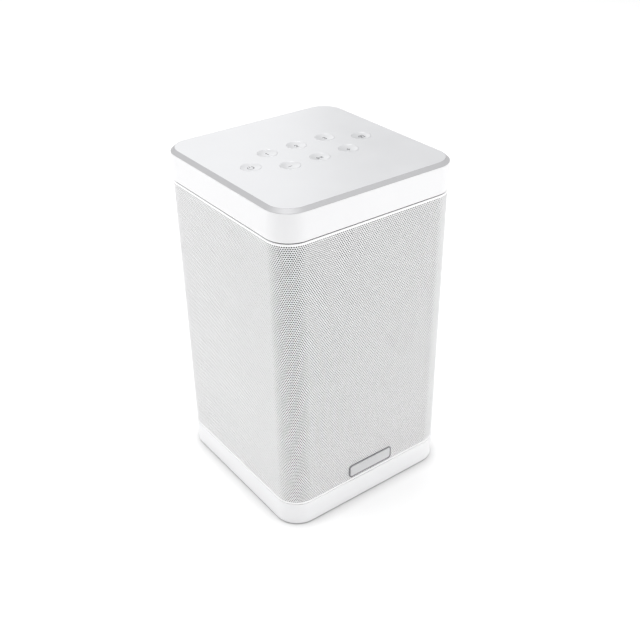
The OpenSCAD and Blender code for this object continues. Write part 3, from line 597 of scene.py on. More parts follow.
def makeGrilleTree():
    tree, given, out = newGroup("perforatedWrap", "GeometryNodeTree", [
        ("Geometry", "NodeSocketGeometry", None), ("Pitch", "NodeSocketFloat", 0.001),
        ("Row Spacing", "NodeSocketFloat", 0.001), ("Hole Radius", "NodeSocketFloat", 0.0004),
        ("First Column", "NodeSocketInt", 0), ("Column Count", "NodeSocketInt", 10),
        ("All Columns", "NodeSocketInt", 10), ("Rows", "NodeSocketInt", 10),
        ("Side Margin", "NodeSocketFloat", 0.001), ("Foot Margin", "NodeSocketFloat", 0.001),
        ("Head Margin", "NodeSocketFloat", 0.001), ("Foot Height", "NodeSocketFloat", 0.0),
        ("Face Distance", "NodeSocketFloat", 0.06), ("Corner Radius", "NodeSocketFloat", 0.015),
        ("Finish", "NodeSocketMaterial", None),
    ], [("Geometry", "NodeSocketGeometry")])
    new, link = tree.nodes.new, tree.links.new

    def c(operation, *values):
        return calc(tree, operation, *values)

    def split(vector):
        node = new("ShaderNodeSeparateXYZ")
        link(vector, node.inputs[0])
        return node.outputs

    def join(x, y, z):
        node = new("ShaderNodeCombineXYZ")
        for socket, value in zip(node.inputs, (x, y, z)):
            if isinstance(value, (int, float)):
                socket.default_value = value
            else:
                link(value, socket)
        return node.outputs[0]

    def moved(geometry, position):
        node = new("GeometryNodeSetPosition")
        link(geometry, node.inputs["Geometry"])
        link(position, node.inputs["Position"])
        return node.outputs[0]

    pitch, rowSpacing, rows = given["Pitch"], given["Row Spacing"], given["Rows"]
    here = new("GeometryNodeInputPosition").outputs[0]
    index = new("GeometryNodeInputIndex").outputs[0]
    halfPitch = c("MULTIPLY", pitch, 0.5)
    halfRow = c("MULTIPLY", rowSpacing, 0.5)
    leftEnd = c("MULTIPLY", c("MULTIPLY", given["All Columns"], pitch), -0.5)
    start = c("ADD", leftEnd, c("MULTIPLY", given["First Column"], pitch))
    lastColumn = c("SUBTRACT", c("ADD", given["First Column"], given["Column Count"]), 1.0)
    isFirst = c("LESS_THAN", given["First Column"], 0.5)
    isLast = c("GREATER_THAN", lastColumn, c("SUBTRACT", given["All Columns"], 1.5))
    foot = c("ADD", given["Foot Height"], given["Foot Margin"])
    height = c("MULTIPLY", rows, rowSpacing)

    # one cell: a six-sided hole in a rectangle
    ringNode = new("GeometryNodeMeshCone")
    ringNode.fill_type = "NONE"
    ringNode.inputs["Vertices"].default_value = 6
    ringNode.inputs["Depth"].default_value = 0.0
    link(given["Hole Radius"], ringNode.inputs["Radius Top"])
    link(c("MULTIPLY", given["Hole Radius"], 2.0), ringNode.inputs["Radius Bottom"])
    quarter = new("ShaderNodeVectorRotate")
    quarter.rotation_type = "Z_AXIS"
    quarter.inputs["Angle"].default_value = math.pi / 2
    link(here, quarter.inputs["Vector"])
    cell = moved(ringNode.outputs["Mesh"], quarter.outputs[0])
    x, y, _ = split(here)
    far = c("GREATER_THAN", c("SQRT", c("ADD", c("MULTIPLY", x, x), c("MULTIPLY", y, y))),
            c("MULTIPLY", given["Hole Radius"], 1.5))
    wide = c("MULTIPLY", c("MULTIPLY", c("SIGN", c("ROUND", c("MULTIPLY", x, 100000.0))), halfPitch), far)
    tall = c("MULTIPLY", c("MULTIPLY", c("SIGN", y), halfRow), far)
    near = c("SUBTRACT", 1.0, far)
    cell = moved(cell,
        join(c("ADD", wide, c("MULTIPLY", x, near)), c("ADD", tall, c("MULTIPLY", y, near)), 0.0))

    def spread(count, x, y, keep, part):
        points = new("GeometryNodePoints")
        link(count, points.inputs["Count"])
        link(join(x, y, 0.0), points.inputs["Position"])
        sieve = new("GeometryNodeDeleteGeometry")
        link(points.outputs[0], sieve.inputs["Geometry"])
        link(c("LESS_THAN", keep, 0.5), sieve.inputs["Selection"])
        copies = new("GeometryNodeInstanceOnPoints")
        link(sieve.outputs[0], copies.inputs["Points"])
        link(part, copies.inputs["Instance"])
        return copies.outputs[0]

    # holes: odd rows sit half a pitch along and have one hole less
    columnCount = given["Column Count"]
    row = c("FLOOR", c("DIVIDE", c("ADD", index, 0.5), columnCount))
    column = c("SUBTRACT", index, c("MULTIPLY", row, columnCount))
    odd = c("MODULO", row, 2.0)
    holeX = c("ADD", start, c("MULTIPLY", c("ADD", c("ADD", column, 0.5), c("MULTIPLY", odd, 0.5)), pitch))
    rowY = c("ADD", foot, c("MULTIPLY", c("ADD", row, 0.5), rowSpacing))
    atEnd = c("GREATER_THAN", column, c("SUBTRACT", columnCount, 1.5))
    dropped = c("MULTIPLY", c("MULTIPLY", atEnd, isLast), odd)
    holes = spread(c("MULTIPLY", columnCount, rows), holeX, rowY, c("SUBTRACT", 1.0, dropped), cell)

    def patch(sizeX, sizeY, countX, countY):
        node = new("GeometryNodeMeshGrid")
        for socket, value in zip(node.inputs, (sizeX, sizeY, countX, countY)):
            if isinstance(value, (int, float)):
                socket.default_value = value
            else:
                link(value, socket)
        return node.outputs[0]

    def shifted(geometry, x, y):
        node = new("GeometryNodeTransform")
        link(geometry, node.inputs["Geometry"])
        link(join(x, y, 0.0), node.inputs["Translation"])
        return node.outputs[0]

    def onlyIf(test, geometry):
        node = new("GeometryNodeSwitch")
        node.input_type = "GEOMETRY"
        link(test, node.inputs["Switch"])
        link(geometry, node.inputs["True"])
        return node.outputs[0]

    # plain half cells close the odd rows, and plain strips run round the edge
    halfCell = patch(halfPitch, rowSpacing, 2, 2)
    oneY = c("ADD", foot, c("MULTIPLY", c("ADD", index, 0.5), rowSpacing))
    oneOdd = c("MODULO", index, 2.0)
    rightEnd = c("MULTIPLY", leftEnd, -1.0)
    quarterPitch = c("MULTIPLY", pitch, 0.25)
    leftFill = spread(rows, c("ADD", leftEnd, quarterPitch), oneY, c("MULTIPLY", oneOdd, isFirst), halfCell)
    rightFill = spread(rows, c("SUBTRACT", rightEnd, quarterPitch), oneY, c("MULTIPLY", oneOdd, isLast),
        halfCell)
    stripLength = c("MULTIPLY", columnCount, pitch)
    stripSteps = c("ADD", c("MULTIPLY", columnCount, 2.0), 1.0)
    stripX = c("ADD", start, c("MULTIPLY", stripLength, 0.5))
    footY = c("ADD", given["Foot Height"], c("MULTIPLY", given["Foot Margin"], 0.5))
    headY = c("ADD", c("ADD", foot, height), c("MULTIPLY", given["Head Margin"], 0.5))
    flat = [holes, leftFill, rightFill]
    for margin, y in ((given["Foot Margin"], footY), (given["Head Margin"], headY)):
        flat.append(shifted(patch(stripLength, margin, stripSteps, 2), stripX, y))
    sideSteps = c("ADD", rows, 1.0)
    sideY = c("ADD", foot, c("MULTIPLY", height, 0.5))
    side = given["Side Margin"]
    halfSide = c("MULTIPLY", side, 0.5)
    for test, x in ((isFirst, c("SUBTRACT", leftEnd, halfSide)), (isLast, c("ADD", rightEnd, halfSide))):
        flat.append(onlyIf(test, shifted(patch(side, height, 2, sideSteps), x, sideY)))
        flat.append(onlyIf(test, shifted(patch(side, given["Foot Margin"], 2, 2), x, footY)))
        flat.append(onlyIf(test, shifted(patch(side, given["Head Margin"], 2, 2), x, headY)))
    together = new("GeometryNodeJoinGeometry")
    for geometry in flat:
        link(geometry, together.inputs[0])
    real = new("GeometryNodeRealizeInstances")
    link(together.outputs[0], real.inputs[0])
    weld = new("GeometryNodeMergeByDistance")
    weld.inputs["Distance"].default_value = 0.01 * mm
    link(real.outputs[0], weld.inputs["Geometry"])

    # wrap: straight along the front, round a corner, along a side, round the rear corner, along the rear
    radius = given["Corner Radius"]
    straight = c("SUBTRACT", given["Face Distance"], radius)
    bend = c("MULTIPLY", radius, math.pi / 2)
    along, up, _ = split(here)
    reach = c("ABSOLUTE", along)
    toSide = c("ADD", straight, bend)
    toRearBend = c("ADD", toSide, c("MULTIPLY", straight, 2.0))
    toRear = c("ADD", toRearBend, bend)

    def part(low, most):
        return c("MINIMUM", c("MAXIMUM", c("SUBTRACT", reach, low), 0.0), most)

    angle1 = c("DIVIDE", part(straight, bend), radius)
    angle2 = c("DIVIDE", part(toRearBend, bend), radius)
    outX = c("ADD", c("MINIMUM", reach, straight), c("MULTIPLY", radius, c("SINE", angle1)))
    outX = c("SUBTRACT", outX, c("MULTIPLY", radius, c("SUBTRACT", 1.0, c("COSINE", angle2))))
    outX = c("SUBTRACT", outX, c("MAXIMUM", c("SUBTRACT", reach, toRear), 0.0))
    outY = c("SUBTRACT", c("MULTIPLY", radius, c("SUBTRACT", 1.0, c("COSINE", angle1))),
        given["Face Distance"])
    outY = c("ADD", outY, part(toSide, c("MULTIPLY", straight, 2.0)))
    outY = c("ADD", outY, c("MULTIPLY", radius, c("SINE", angle2)))
    wrapped = moved(weld.outputs[0], join(c("MULTIPLY", c("SIGN", along), outX), outY, up))
    last = new("GeometryNodeRealizeInstances")
    link(wrapped, last.inputs[0])
    paint = new("GeometryNodeSetMaterial")
    link(last.outputs[0], paint.inputs["Geometry"])
    link(given["Finish"], paint.inputs["Material"])
    link(paint.outputs[0], out["Geometry"])
    return tree


def makeGrille(setup):
    tree = makeGrilleTree()
    ids = socketIds(tree)
    low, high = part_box("grille")
    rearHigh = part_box("rear_panel")[1]
    face = -low[1]
    straight = face - setup["cornerRadius"]
    rearEdge = rearHigh[0] + 0.3 * mm
    halfLength = 4 * straight + math.pi * setup["cornerRadius"] - rearEdge
    values = {
        "Pitch": setup["pitch"], "Row Spacing": setup["rowSpacing"], "Hole Radius": setup["holeRadius"],
        "All Columns": setup["columns"], "Rows": setup["rows"],
        "Side Margin": halfLength - setup["columns"] * setup["pitch"] / 2,
        "Foot Margin": setup["footMargin"],
        "Head Margin": high[2] - low[2] - setup["footMargin"] - setup["rows"] * setup["rowSpacing"],
        "Foot Height": low[2], "Face Distance": face, "Corner Radius": setup["cornerRadius"],
        "Finish": finishes["whiteSheet"],
    }
    for number, first in enumerate(range(0, setup["columns"], setup["columnsPerPiece"])):
        name = "grilleSheet" + str(number + 1)
        obj = bpy.data.objects.new(name, bpy.data.meshes.new(name))
        scene.collection.objects.link(obj)
        wrap = obj.modifiers.new("perforatedWrap", "NODES")
        wrap.node_group = tree
        for label, value in values.items():
            wrap[ids[label]] = value
        wrap[ids["First Column"]] = first
        wrap[ids["Column Count"]] = min(setup["columnsPerPiece"], setup["columns"] - first)
        wall = obj.modifiers.new("sheet", "SOLIDIFY")
        wall.thickness = setup["sheet"]
        wall.offset = -1
        settle(obj)
        finishPiece(obj, "whiteSheet", ["grille"], smooth=30)
    print("grille made:", len(obj.data.polygons), "faces in the last piece")


makeGrille(grilleSetup)

# the base: a shallow tray with a small chamfer at the floor, four posts and the places for the feet

baseSetup = {
    "corner": 16 * mm, "chamfer": 0.5 * mm, "edge": 0.3 * mm, "wall": 2 * mm, "floor": 3 * mm,
    "posts": [(sx * 52 * mm, sy * 30 * mm) for sx in (-1, 1) for sy in (-1, 1)],
    "postTop": 10 * mm, "post": 4 * mm, "screwHole": 1.6 * mm, "headHole": 3.0 * mm,
    "footPlaces": [(sx * 44 * mm, sy * 44 * mm, 0) for sx in (-1, 1) for sy in (-1, 1)],
    "foot": 7 * mm, "footTop": 2 * mm, "footFit": 0.1 * mm, "footFlare": 1.2 * mm,
    "panInset": 45 * mm, "screwDepth": 14 * mm, "headFlare": 0.6 * mm,
}


def makeBase(setup):
    low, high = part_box("base")
    half, edge = high[0], setup["edge"]
    floorTop = low[2] + setup["floor"]
    outline = softCorners([
        (setup["panInset"], low[2], 0), (setup["chamfer"], low[2], edge),
        (0, low[2] + setup["chamfer"], edge),
        (0, high[2], edge), (setup["wall"], high[2], 0.3 * mm), (setup["wall"], floorTop, 0.8 * mm),
        (setup["panInset"], floorTop, 0)])
    base = looseObject("baseShell", sweepRect(outline, half, half, setup["corner"]))
    posts = bmesh.new()
    rise = setup["postTop"] - floorTop
    for x, y in setup["posts"]:
        post = softCorners([
            (0, -past, 0), (setup["post"], -past, 0), (setup["post"], rise, 0.3 * mm), (0, rise, 0)])
        turned(post, (x, y, floorTop), segments=32, bm=posts)
    carve(base, [posts], "UNION")
    holes = bmesh.new()
    heads = bmesh.new()
    for x, y in setup["posts"]:
        hole, deep = setup["screwHole"], setup["screwDepth"]
        turned([(0, -past), (hole, -past), (hole, deep), (0, deep)], (x, y, low[2]), segments=24, bm=holes)
        head, seat = setup["headHole"], setup["floor"]
        turned([(0, -past), (head + setup["headFlare"], -past), (head, 0.3 * mm), (head, seat), (0, seat)],
               (x, y, low[2]), segments=24, bm=heads)
    recess = setup["footTop"] - low[2]
    for x, y, _ in setup["footPlaces"]:
        r = setup["foot"] + setup["footFit"]
        turned([(0, -past), (r + setup["footFlare"], -past), (r, 0.2 * mm), (r, recess), (0, recess)],
               (x, y, low[2]), bm=heads)
    carve(base, [holes, heads])
    finishPiece(base, "whitePlastic", ["base"])

    r, top = setup["foot"], setup["footTop"]
    foot = turned(softCorners([
        (0, 0.25 * mm, 0), (2.2 * mm, 0.25 * mm, 0.1 * mm), (2.5 * mm, 0, 0.1 * mm), (3.9 * mm, 0, 0.1 * mm),
        (4.2 * mm, 0.25 * mm, 0.1 * mm), (4.8 * mm, 0.25 * mm, 0.1 * mm), (5.1 * mm, 0, 0.1 * mm),
        (r, 0, 0.5 * mm), (r, top, 0.2 * mm), (0, top, 0)], 3), segments=48)
    repeatPart("footPads", foot, setup["footPlaces"], "footRubber", ["feet"])
    print("base and feet made")


makeBase(baseSetup)

# the cap: a white collar closed by a deck under the panel

capSetup = {
    "corner": 16 * mm, "edge": 0.35 * mm, "wall": 2 * mm, "deck": 3 * mm,
    "posts": [(sx * 52 * mm, sy * 30 * mm) for sx in (-1, 1) for sy in (-1, 1)], "post": 4 * mm,
    "postFoot": 205 * mm,
    "boardPosts": [(sx * 47 * mm, sy * 19 * mm) for sx in (-1, 1) for sy in (-1, 1)], "boardPost": 2.5 * mm,
    "boardPostFoot": 210 * mm, "keyHole": 6.05 * mm, "deckInset": 45 * mm,
    "screwHole": (1.6 * mm, 9 * mm), "boardScrewHole": (1.1 * mm, 4.6 * mm),      # radius, depth
}
keySetup = {
    "places": {
        "power": (-40.6 * mm, 0), "one": (-21.3 * mm, 11.8 * mm), "two": (0, 11.8 * mm),
        "three": (21.3 * mm, 11.8 * mm), "source": (40.6 * mm, 0), "minus": (-21.3 * mm, -11.8 * mm),
        "play": (0, -11.8 * mm), "plus": (21.3 * mm, -11.8 * mm),
    },
    "radius": 5.95 * mm, "rim": 0.2 * mm, "dishDepth": 0.6 * mm, "edge": 0.08 * mm,
    "flange": 7.25 * mm, "flangeTop": 5.3 * mm, "flangeHeight": 1 * mm, "stem": 2 * mm, "stemFoot": 8.6 * mm,
    "dishRings": 14,
}


def keyCutters(radius, low, high, flare):
    bm = bmesh.new()
    for x, y in keySetup["places"].values():
        turned([(0, low), (radius, low), (radius, high - flare), (radius + flare + past, high + past),
                (0, high + past)], (x, y, 0), bm=bm)
    return bm


def makeCap(setup):
    low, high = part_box("top_cap")
    half, edge, deck = high[0], setup["edge"], high[2] - setup["deck"]
    outline = softCorners([
        (setup["deckInset"], deck, 0), (setup["wall"], deck, 0.8 * mm), (setup["wall"], low[2], 0.3 * mm),
        (0, low[2], edge), (0, high[2], 0.1 * mm), (setup["deckInset"], high[2], 0)])
    cap = looseObject("topCollar", sweepRect(outline, half, half, setup["corner"]))
    posts = bmesh.new()
    for places, radius, foot in ((setup["posts"], setup["post"], setup["postFoot"]),
                                 (setup["boardPosts"], setup["boardPost"], setup["boardPostFoot"])):
        for x, y in places:
            post = softCorners([
                (0, foot, 0), (radius, foot, 0.3 * mm), (radius, deck + past, 0), (0, deck + past, 0)])
            turned(post, (x, y, 0), segments=32, bm=posts)
    carve(cap, [posts], "UNION")
    holes = bmesh.new()
    for places, foot, (radius, depth) in (
            (setup["posts"], setup["postFoot"], setup["screwHole"]),
            (setup["boardPosts"], setup["boardPostFoot"], setup["boardScrewHole"])):
        for x, y in places:
            turned([(0, foot - past), (radius, foot - past), (radius, foot + depth), (0, foot + depth)],
                   (x, y, 0), segments=24, bm=holes)
    carve(cap, [holes, keyCutters(setup["keyHole"], deck - past, high[2] + past, 0)])
    finishPiece(cap, "whitePlastic", ["top_cap"])


makeCap(capSetup)

# the panel: a silver plate with a polished slope all round, its colour darkened as a painted reflection, and
# eight key holes

panelSetup = {
    "corner": 16 * mm, "slope": 2.4 * mm, "edge": 0.15 * mm, "line": 0.22 * mm, "lineDepth": 0.14 * mm,
    "keyHole": 6.05 * mm, "holeEdge": 0.1 * mm, "middleInset": 40 * mm,
}


def makePanel(setup):
    low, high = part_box("top_panel")
    top, slope, line, deep = high[2], setup["slope"], setup["line"], setup["lineDepth"]
    outline = softCorners([
        (setup["middleInset"], low[2], 0), (setup["edge"], low[2], 0), (0, low[2] + setup["edge"], 0),
        (slope, top, 0), (slope + line / 2, top - deep, 0), (slope + line, top, 0),
        (setup["middleInset"], top, 0)])
    half = high[0]
    # the slope and its groove take material 1, the silver darkened as a painted reflection
    plate = sweepRect(outline, half, half, setup["corner"], cornerSteps=28, bands=(1, 2, 3, 4))
    panel = looseObject("topPlate", plate)
    panel.data.materials.append(finishes["silverPanel"])
    panel.data.materials.append(finishes["slopePaintedReflection"])
    carve(panel, [keyCutters(setup["keyHole"], low[2] - past, top, setup["holeEdge"])])
    finishPiece(panel, "silverPanel", ["top_panel"], smooth=20)
    print("cap and panel made")


makePanel(panelSetup)

# the keys: dished discs with a flange under the deck and a stem over the mat

iconSetup = {
    "stroke": 0.48 * mm, "raise": 0.02 * mm, "root": 0.03 * mm, "step": 0.3 * mm,
    # lines in millimetres across and away from the front
    "lines": {
        "power": [[(1.85 * math.sin(a), 1.85 * math.cos(a)) for a in
                   [math.radians(36 + k * 288 / 30) for k in range(31)]], [(0, 0.5), (0, 2.25)]],
        "one": [[(-0.55, 0.85), (0.1, 1.45), (0.1, -1.45)]],
        "two": [[(-0.85, 0.7), (-0.65, 1.2), (-0.05, 1.45), (0.6, 1.25), (0.85, 0.7), (0.6, 0.1),
            (-0.9, -1.4),
                 (0.95, -1.4)]],
        "three": [[(-0.8, 1.05), (-0.25, 1.45), (0.45, 1.3), (0.72, 0.75), (0.4, 0.2), (-0.2, 0.05)],
                  [(-0.2, 0.05), (0.5, -0.1), (0.9, -0.68), (0.6, -1.25), (-0.1, -1.45), (-0.85, -1.1)]],
        "source": [[(-0.9, 0.7), (-0.9, 1.5), (2, 1.5), (2, -1.5), (-0.9, -1.5), (-0.9, -0.7)],
            [(-2.1, 0), (0.7, 0)],
                   [(0, 0.7), (0.7, 0), (0, -0.7)]],
        "minus": [[(-1.35, 0), (1.35, 0)]],
        "play": [[(-1.9, 1.1), (-0.2, 0), (-1.9, -1.1), (-1.9, 1.1)], [(0.75, 1.1), (0.75, -1.1)],
                 [(1.6, 1.1), (1.6, -1.1)]],
        "plus": [[(-1.35, 0), (1.35, 0)], [(0, 1.35), (0, -1.35)]],
    },
}


def dishHeight(reach):      # how far below the top the dish is, at that distance from the key's middle
    rimReach = keySetup["radius"] - keySetup["rim"]
    depth = keySetup["dishDepth"]
    ball = (rimReach ** 2 + depth ** 2) / (2 * depth)
    return -depth + ball - math.sqrt(ball ** 2 - min(reach, rimReach) ** 2)


def makeIcon(name, place, top, setup):
    bm = bmesh.new()
    half = setup["stroke"] / 2
    for line in setup["lines"][name]:
        points = []
        for a, b in zip(line, line[1:]):
            a, b = Vector(a) * mm, Vector(b) * mm
            steps = max(1, round((b - a).length / setup["step"]))
            points += [a.lerp(b, k / steps) for k in range(steps)]
        points.append(Vector(line[-1]) * mm)
        rings = []
        for i, point in enumerate(points):
            before = (point - points[max(i - 1, 0)]).normalized()
            after = (points[min(i + 1, len(points) - 1)] - point).normalized()
            along = (before + after).normalized()
            across = Vector((-along.y, along.x)) * half / max(0.5, max(along.dot(before), along.dot(after)))
            ring = []
            up, down = setup["raise"], -setup["root"]
            for side, lift in ((1, up), (-1, up), (-1, down), (1, down)):
                spot = point + across * side
                height = top + dishHeight(spot.length) + lift
                ring.append(bm.verts.new((place[0] + spot.x, place[1] + spot.y, height)))
            rings.append(ring)
        for a, b in zip(rings, rings[1:]):
            bridge(bm, a, b)
        bm.faces.new(rings[0])
        bm.faces.new(rings[-1])
    icon = looseObject(name + "Mark", bm)
    return finishPiece(icon, "iconInk", body="key_" + name + "_body")


def makeKey(name, place, setup):
    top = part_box("key_" + name)[1][2]
    r, rim, edge = setup["radius"], setup["rim"], setup["edge"]
    rings = setup["dishRings"]
    dish = [((r - rim) * k / rings, top + dishHeight((r - rim) * k / rings)) for k in range(rings + 1)]
    flangeTop = top - setup["flangeTop"]
    flangeFoot = flangeTop - setup["flangeHeight"]
    body = softCorners([
        (r - rim - 0.02 * mm, top, 0), (r, top, edge), (r, flangeTop, 0.1 * mm),
        (setup["flange"], flangeTop, 0.2 * mm), (setup["flange"], flangeFoot, 0.2 * mm),
        (setup["stem"], flangeFoot, 0.3 * mm),
        (setup["stem"], top - setup["stemFoot"], 0.3 * mm), (0, top - setup["stemFoot"], 0)], 3)
    key = looseObject(name + "Key", turned(dish + body[1:], (place[0], place[1], 0), segments=72))
    finishPiece(key, "silverKeys", ["key_" + name], body="key_" + name + "_body", smooth=30)
    makeIcon(name, place, top, iconSetup)


for keyName, keyPlace in keySetup["places"].items():
    makeKey(keyName, keyPlace, keySetup)
print("keys made")

# the badge: a blank plate with a raised rim round a brushed field

badgeSetup = {
    "radius": 2 * mm, "edge": 0.15 * mm, "rim": 0.7 * mm, "fieldDepth": 0.25 * mm, "inset": 4.5 * mm,
}


def makeBadge(setup):
    low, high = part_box("badge")
    thick = high[1] - low[1]
    middle = [(low[i] + high[i]) / 2 for i in range(3)]
    halfX, halfZ = (high[0] - low[0]) / 2, (high[2] - low[2]) / 2
    rim, deep, inner = setup["rim"], setup["fieldDepth"], setup["inset"]
    outline = softCorners([
        (inner, 0, 0), (0, 0, 0), (0, thick, setup["edge"]), (rim, thick, setup["edge"]),
        (rim + 0.12 * mm, thick - deep, 0.05 * mm), (inner, thick - deep, 0)], 3)
    bm = sweepRect(outline, halfX, halfZ, setup["radius"], 10, bands=(len(outline) - 2,))
    bm.faces.ensure_lookup_table()
    bm.faces[-1].material_index = 1
    toPlace = Matrix.Translation((middle[0], high[1], middle[2])) @ frontwards
    bmesh.ops.transform(bm, matrix=toPlace, verts=bm.verts)
    badge = looseObject("frontPlate", bm)
    finishPiece(badge, "badgeRim", ["badge"], second="badgeField")
    print("badge made")


makeBadge(badgeSetup)

# the cloth behind the grille, on its own map in metres

clothSetup = {"thick": 0.3 * mm, "acrossSteps": 220, "upSteps": 24, "radius": 15.15 * mm,
    "rearSlot": 40.8 * mm}


def wrapPoint(along, face, radius):
    straight, bend, reach = face - radius, radius * math.pi / 2, abs(along)

    def part(low, most):
        return min(max(reach - low, 0), most)

    a1, a2 = part(straight, bend) / radius, part(3 * straight + bend, bend) / radius
    rear = max(reach - 3 * straight - 2 * bend, 0)
    x = part(0, straight) + radius * math.sin(a1) - radius * (1 - math.cos(a2)) - rear
    y = -face + radius * (1 - math.cos(a1)) + part(straight + bend, 2 * straight) + radius * math.sin(a2)
    return math.copysign(x, along), y


def makeCloth(setup):
    low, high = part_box("grille_cloth")
    face, radius = -low[1], setup["radius"]
    halfLength = 4 * (face - radius) + math.pi * radius - setup["rearSlot"]
    bm = bmesh.new()
    uvLayer = bm.loops.layers.uv.new("flatMap")
    grid = []
    for j in range(setup["upSteps"] + 1):
        z = low[2] + (high[2] - low[2]) * j / setup["upSteps"]
        row = []
        for i in range(setup["acrossSteps"] + 1):
            along = halfLength * (2 * i / setup["acrossSteps"] - 1)
            x, y = wrapPoint(along, face, radius)
            row.append((bm.verts.new((x, y, z)), (along, z)))
        grid.append(row)
    for a, b in zip(grid, grid[1:]):
        for i in range(setup["acrossSteps"]):
            corners = (a[i], a[i + 1], b[i + 1], b[i])
            cellFace = bm.faces.new([v for v, _ in corners])
            for loop, (_, uv) in zip(cellFace.loops, corners):
                loop[uvLayer].uv = uv
    cloth = looseObject("speakerCloth", bm, outwards=False)
    wall = cloth.modifiers.new("thickness", "SOLIDIFY")
    wall.thickness = setup["thick"]
    wall.offset = -1
    settle(cloth)
    finishPiece(cloth, "grilleCloth", ["grille_cloth"])


makeCloth(clothSetup)

# the rear: a white cover with its sockets, and the flared port

rearSetup = {
    "corner": 1.6 * mm, "edge": 0.3 * mm, "portHole": 22.2 * mm, "portHeight": 165 * mm,
    # middle across and up, half width, half height, corner
    "cutouts": [(-20 * mm, 46 * mm, 12.2 * mm, 6.7 * mm, 1 * mm),
        (8 * mm, 40 * mm, 7.2 * mm, 3.5 * mm, 0.6 * mm),
                (8 * mm, 56 * mm, 8.2 * mm, 6.7 * mm, 0.6 * mm)],
    "lineSocket": (26 * mm, 40 * mm, 4.2 * mm),
    "screws": [(sx * 36.5 * mm, z * mm) for sx in (-1, 1) for z in (24, 110, 196)], "screwHole": 1.6 * mm,
    "screwHead": 2.75 * mm, "screwRise": 0.6 * mm,
}


def makeRear(setup):
    low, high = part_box("rear_panel")
    thick = high[1] - low[1]
    middle = [(low[i] + high[i]) / 2 for i in range(3)]
    halfX, halfZ = (high[0] - low[0]) / 2, (high[2] - low[2]) / 2
    outline = softCorners([(20 * mm, 0, 0), (0, 0, 0.1 * mm), (0, thick, setup["edge"]),
        (20 * mm, thick, 0)], 4)
    bm = sweepRect(outline, halfX, halfZ, setup["corner"], 8)
    bmesh.ops.transform(bm, matrix=Matrix.Translation((middle[0], low[1], middle[2])) @ backwards,
        verts=bm.verts)
    panel = looseObject("rearCover", bm)
    cuts = bmesh.new()
    flare = 0.2 * mm
    rounds = [(0, setup["portHeight"], setup["portHole"]), setup["lineSocket"]]
    rounds += [(x, z, setup["screwHole"]) for x, z in setup["screws"]]
    for x, z, r in rounds:
        turned([(0, -1 * mm), (r, -1 * mm), (r, thick - flare), (r + flare + 1 * mm, thick + 1 * mm),
            (0, thick + 1 * mm)],
               (x, low[1], z), backwards, segments=72 if r > 9 * mm else 32, bm=cuts)
    for x, z, across, up, r in setup["cutouts"]:
        hole = sweepRect([(0, -1 * mm), (0, thick - flare), (-flare - 1 * mm, thick + 1 * mm)], across, up,
            r, 6)
        bmesh.ops.transform(hole, matrix=Matrix.Translation((x, low[1], z)) @ backwards, verts=hole.verts)
        spare = bpy.data.meshes.new("hole")
        hole.to_mesh(spare)
        hole.free()
        cuts.from_mesh(spare)
    carve(panel, [cuts])
    finishPiece(panel, "whitePlastic", ["rear_panel"])

    head, rise = setup["screwHead"], setup["screwRise"]
    screw = turned(softCorners([
        (0, -0.35 * mm, 0), (1.35 * mm, -0.35 * mm, 0), (1.5 * mm, rise, 0.05 * mm),
        (head - 0.5 * mm, rise, 0.3 * mm), (head, 0.15 * mm, 0.1 * mm), (head, 0, 0),
        (1.5 * mm, 0, 0), (1.5 * mm, -7.5 * mm, 0.1 * mm), (0.3 * mm, -9 * mm, 0), (0, -9 * mm, 0)],
        3), turn=backwards, segments=48, sides={1: 6, 2: 6, 3: 6, 4: 6, 5: 6})
    places = [(x, high[1], z) for x, z in setup["screws"]]
    repeatPart("rearCoverScrews", screw, places, "screwSteel", ["rear_screws"])


makeRear(rearSetup)

portSetup = {"bore": 15 * mm, "wall": 3 * mm, "flange": 22 * mm, "flare": 5 * mm, "height": 165 * mm}


def makePort(setup):
    low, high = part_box("port_tube")
    start, mouth = low[1], high[1]
    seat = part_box("rear_panel")[0][1]
    bore, flare, outer = setup["bore"], setup["flare"], setup["bore"] + setup["wall"]
    inside = [(bore + flare * (1 - math.cos(a)), mouth - flare + flare * math.sin(a))
              for a in [math.pi / 2 * k / 12 for k in range(12)]]
    body = softCorners([
        (bore + flare - 0.05 * mm, mouth, 0), (setup["flange"], mouth, 0.35 * mm),
        (setup["flange"], seat, 0.1 * mm), (outer, seat, 0.2 * mm), (outer, start, 0.8 * mm),
        (bore, start, 0.8 * mm),
        (bore, start + 2 * mm, 0)], 4)
    port = looseObject("bassPort", turned(inside + body, (0, 0, setup["height"]), backwards, segments=96))
    finishPiece(port, "blackPlastic", ["port_tube"])
    print("rear cover, its screws and the port made")


makePort(portSetup)

# the key mat: a thin sheet with a dome under each key

matSetup = {
    "thick": 0.8 * mm, "domeFoot": 4.5 * mm, "domeTop": 2.5 * mm, "domeWall": 1 * mm, "corner": 2 * mm,
    "screwHole": 2.7 * mm, "screws": [(sx * 47 * mm, sy * 19 * mm) for sx in (-1, 1) for sy in (-1, 1)],
    "middleInset": 20 * mm, "keyTravel": 0.6 * mm,
}


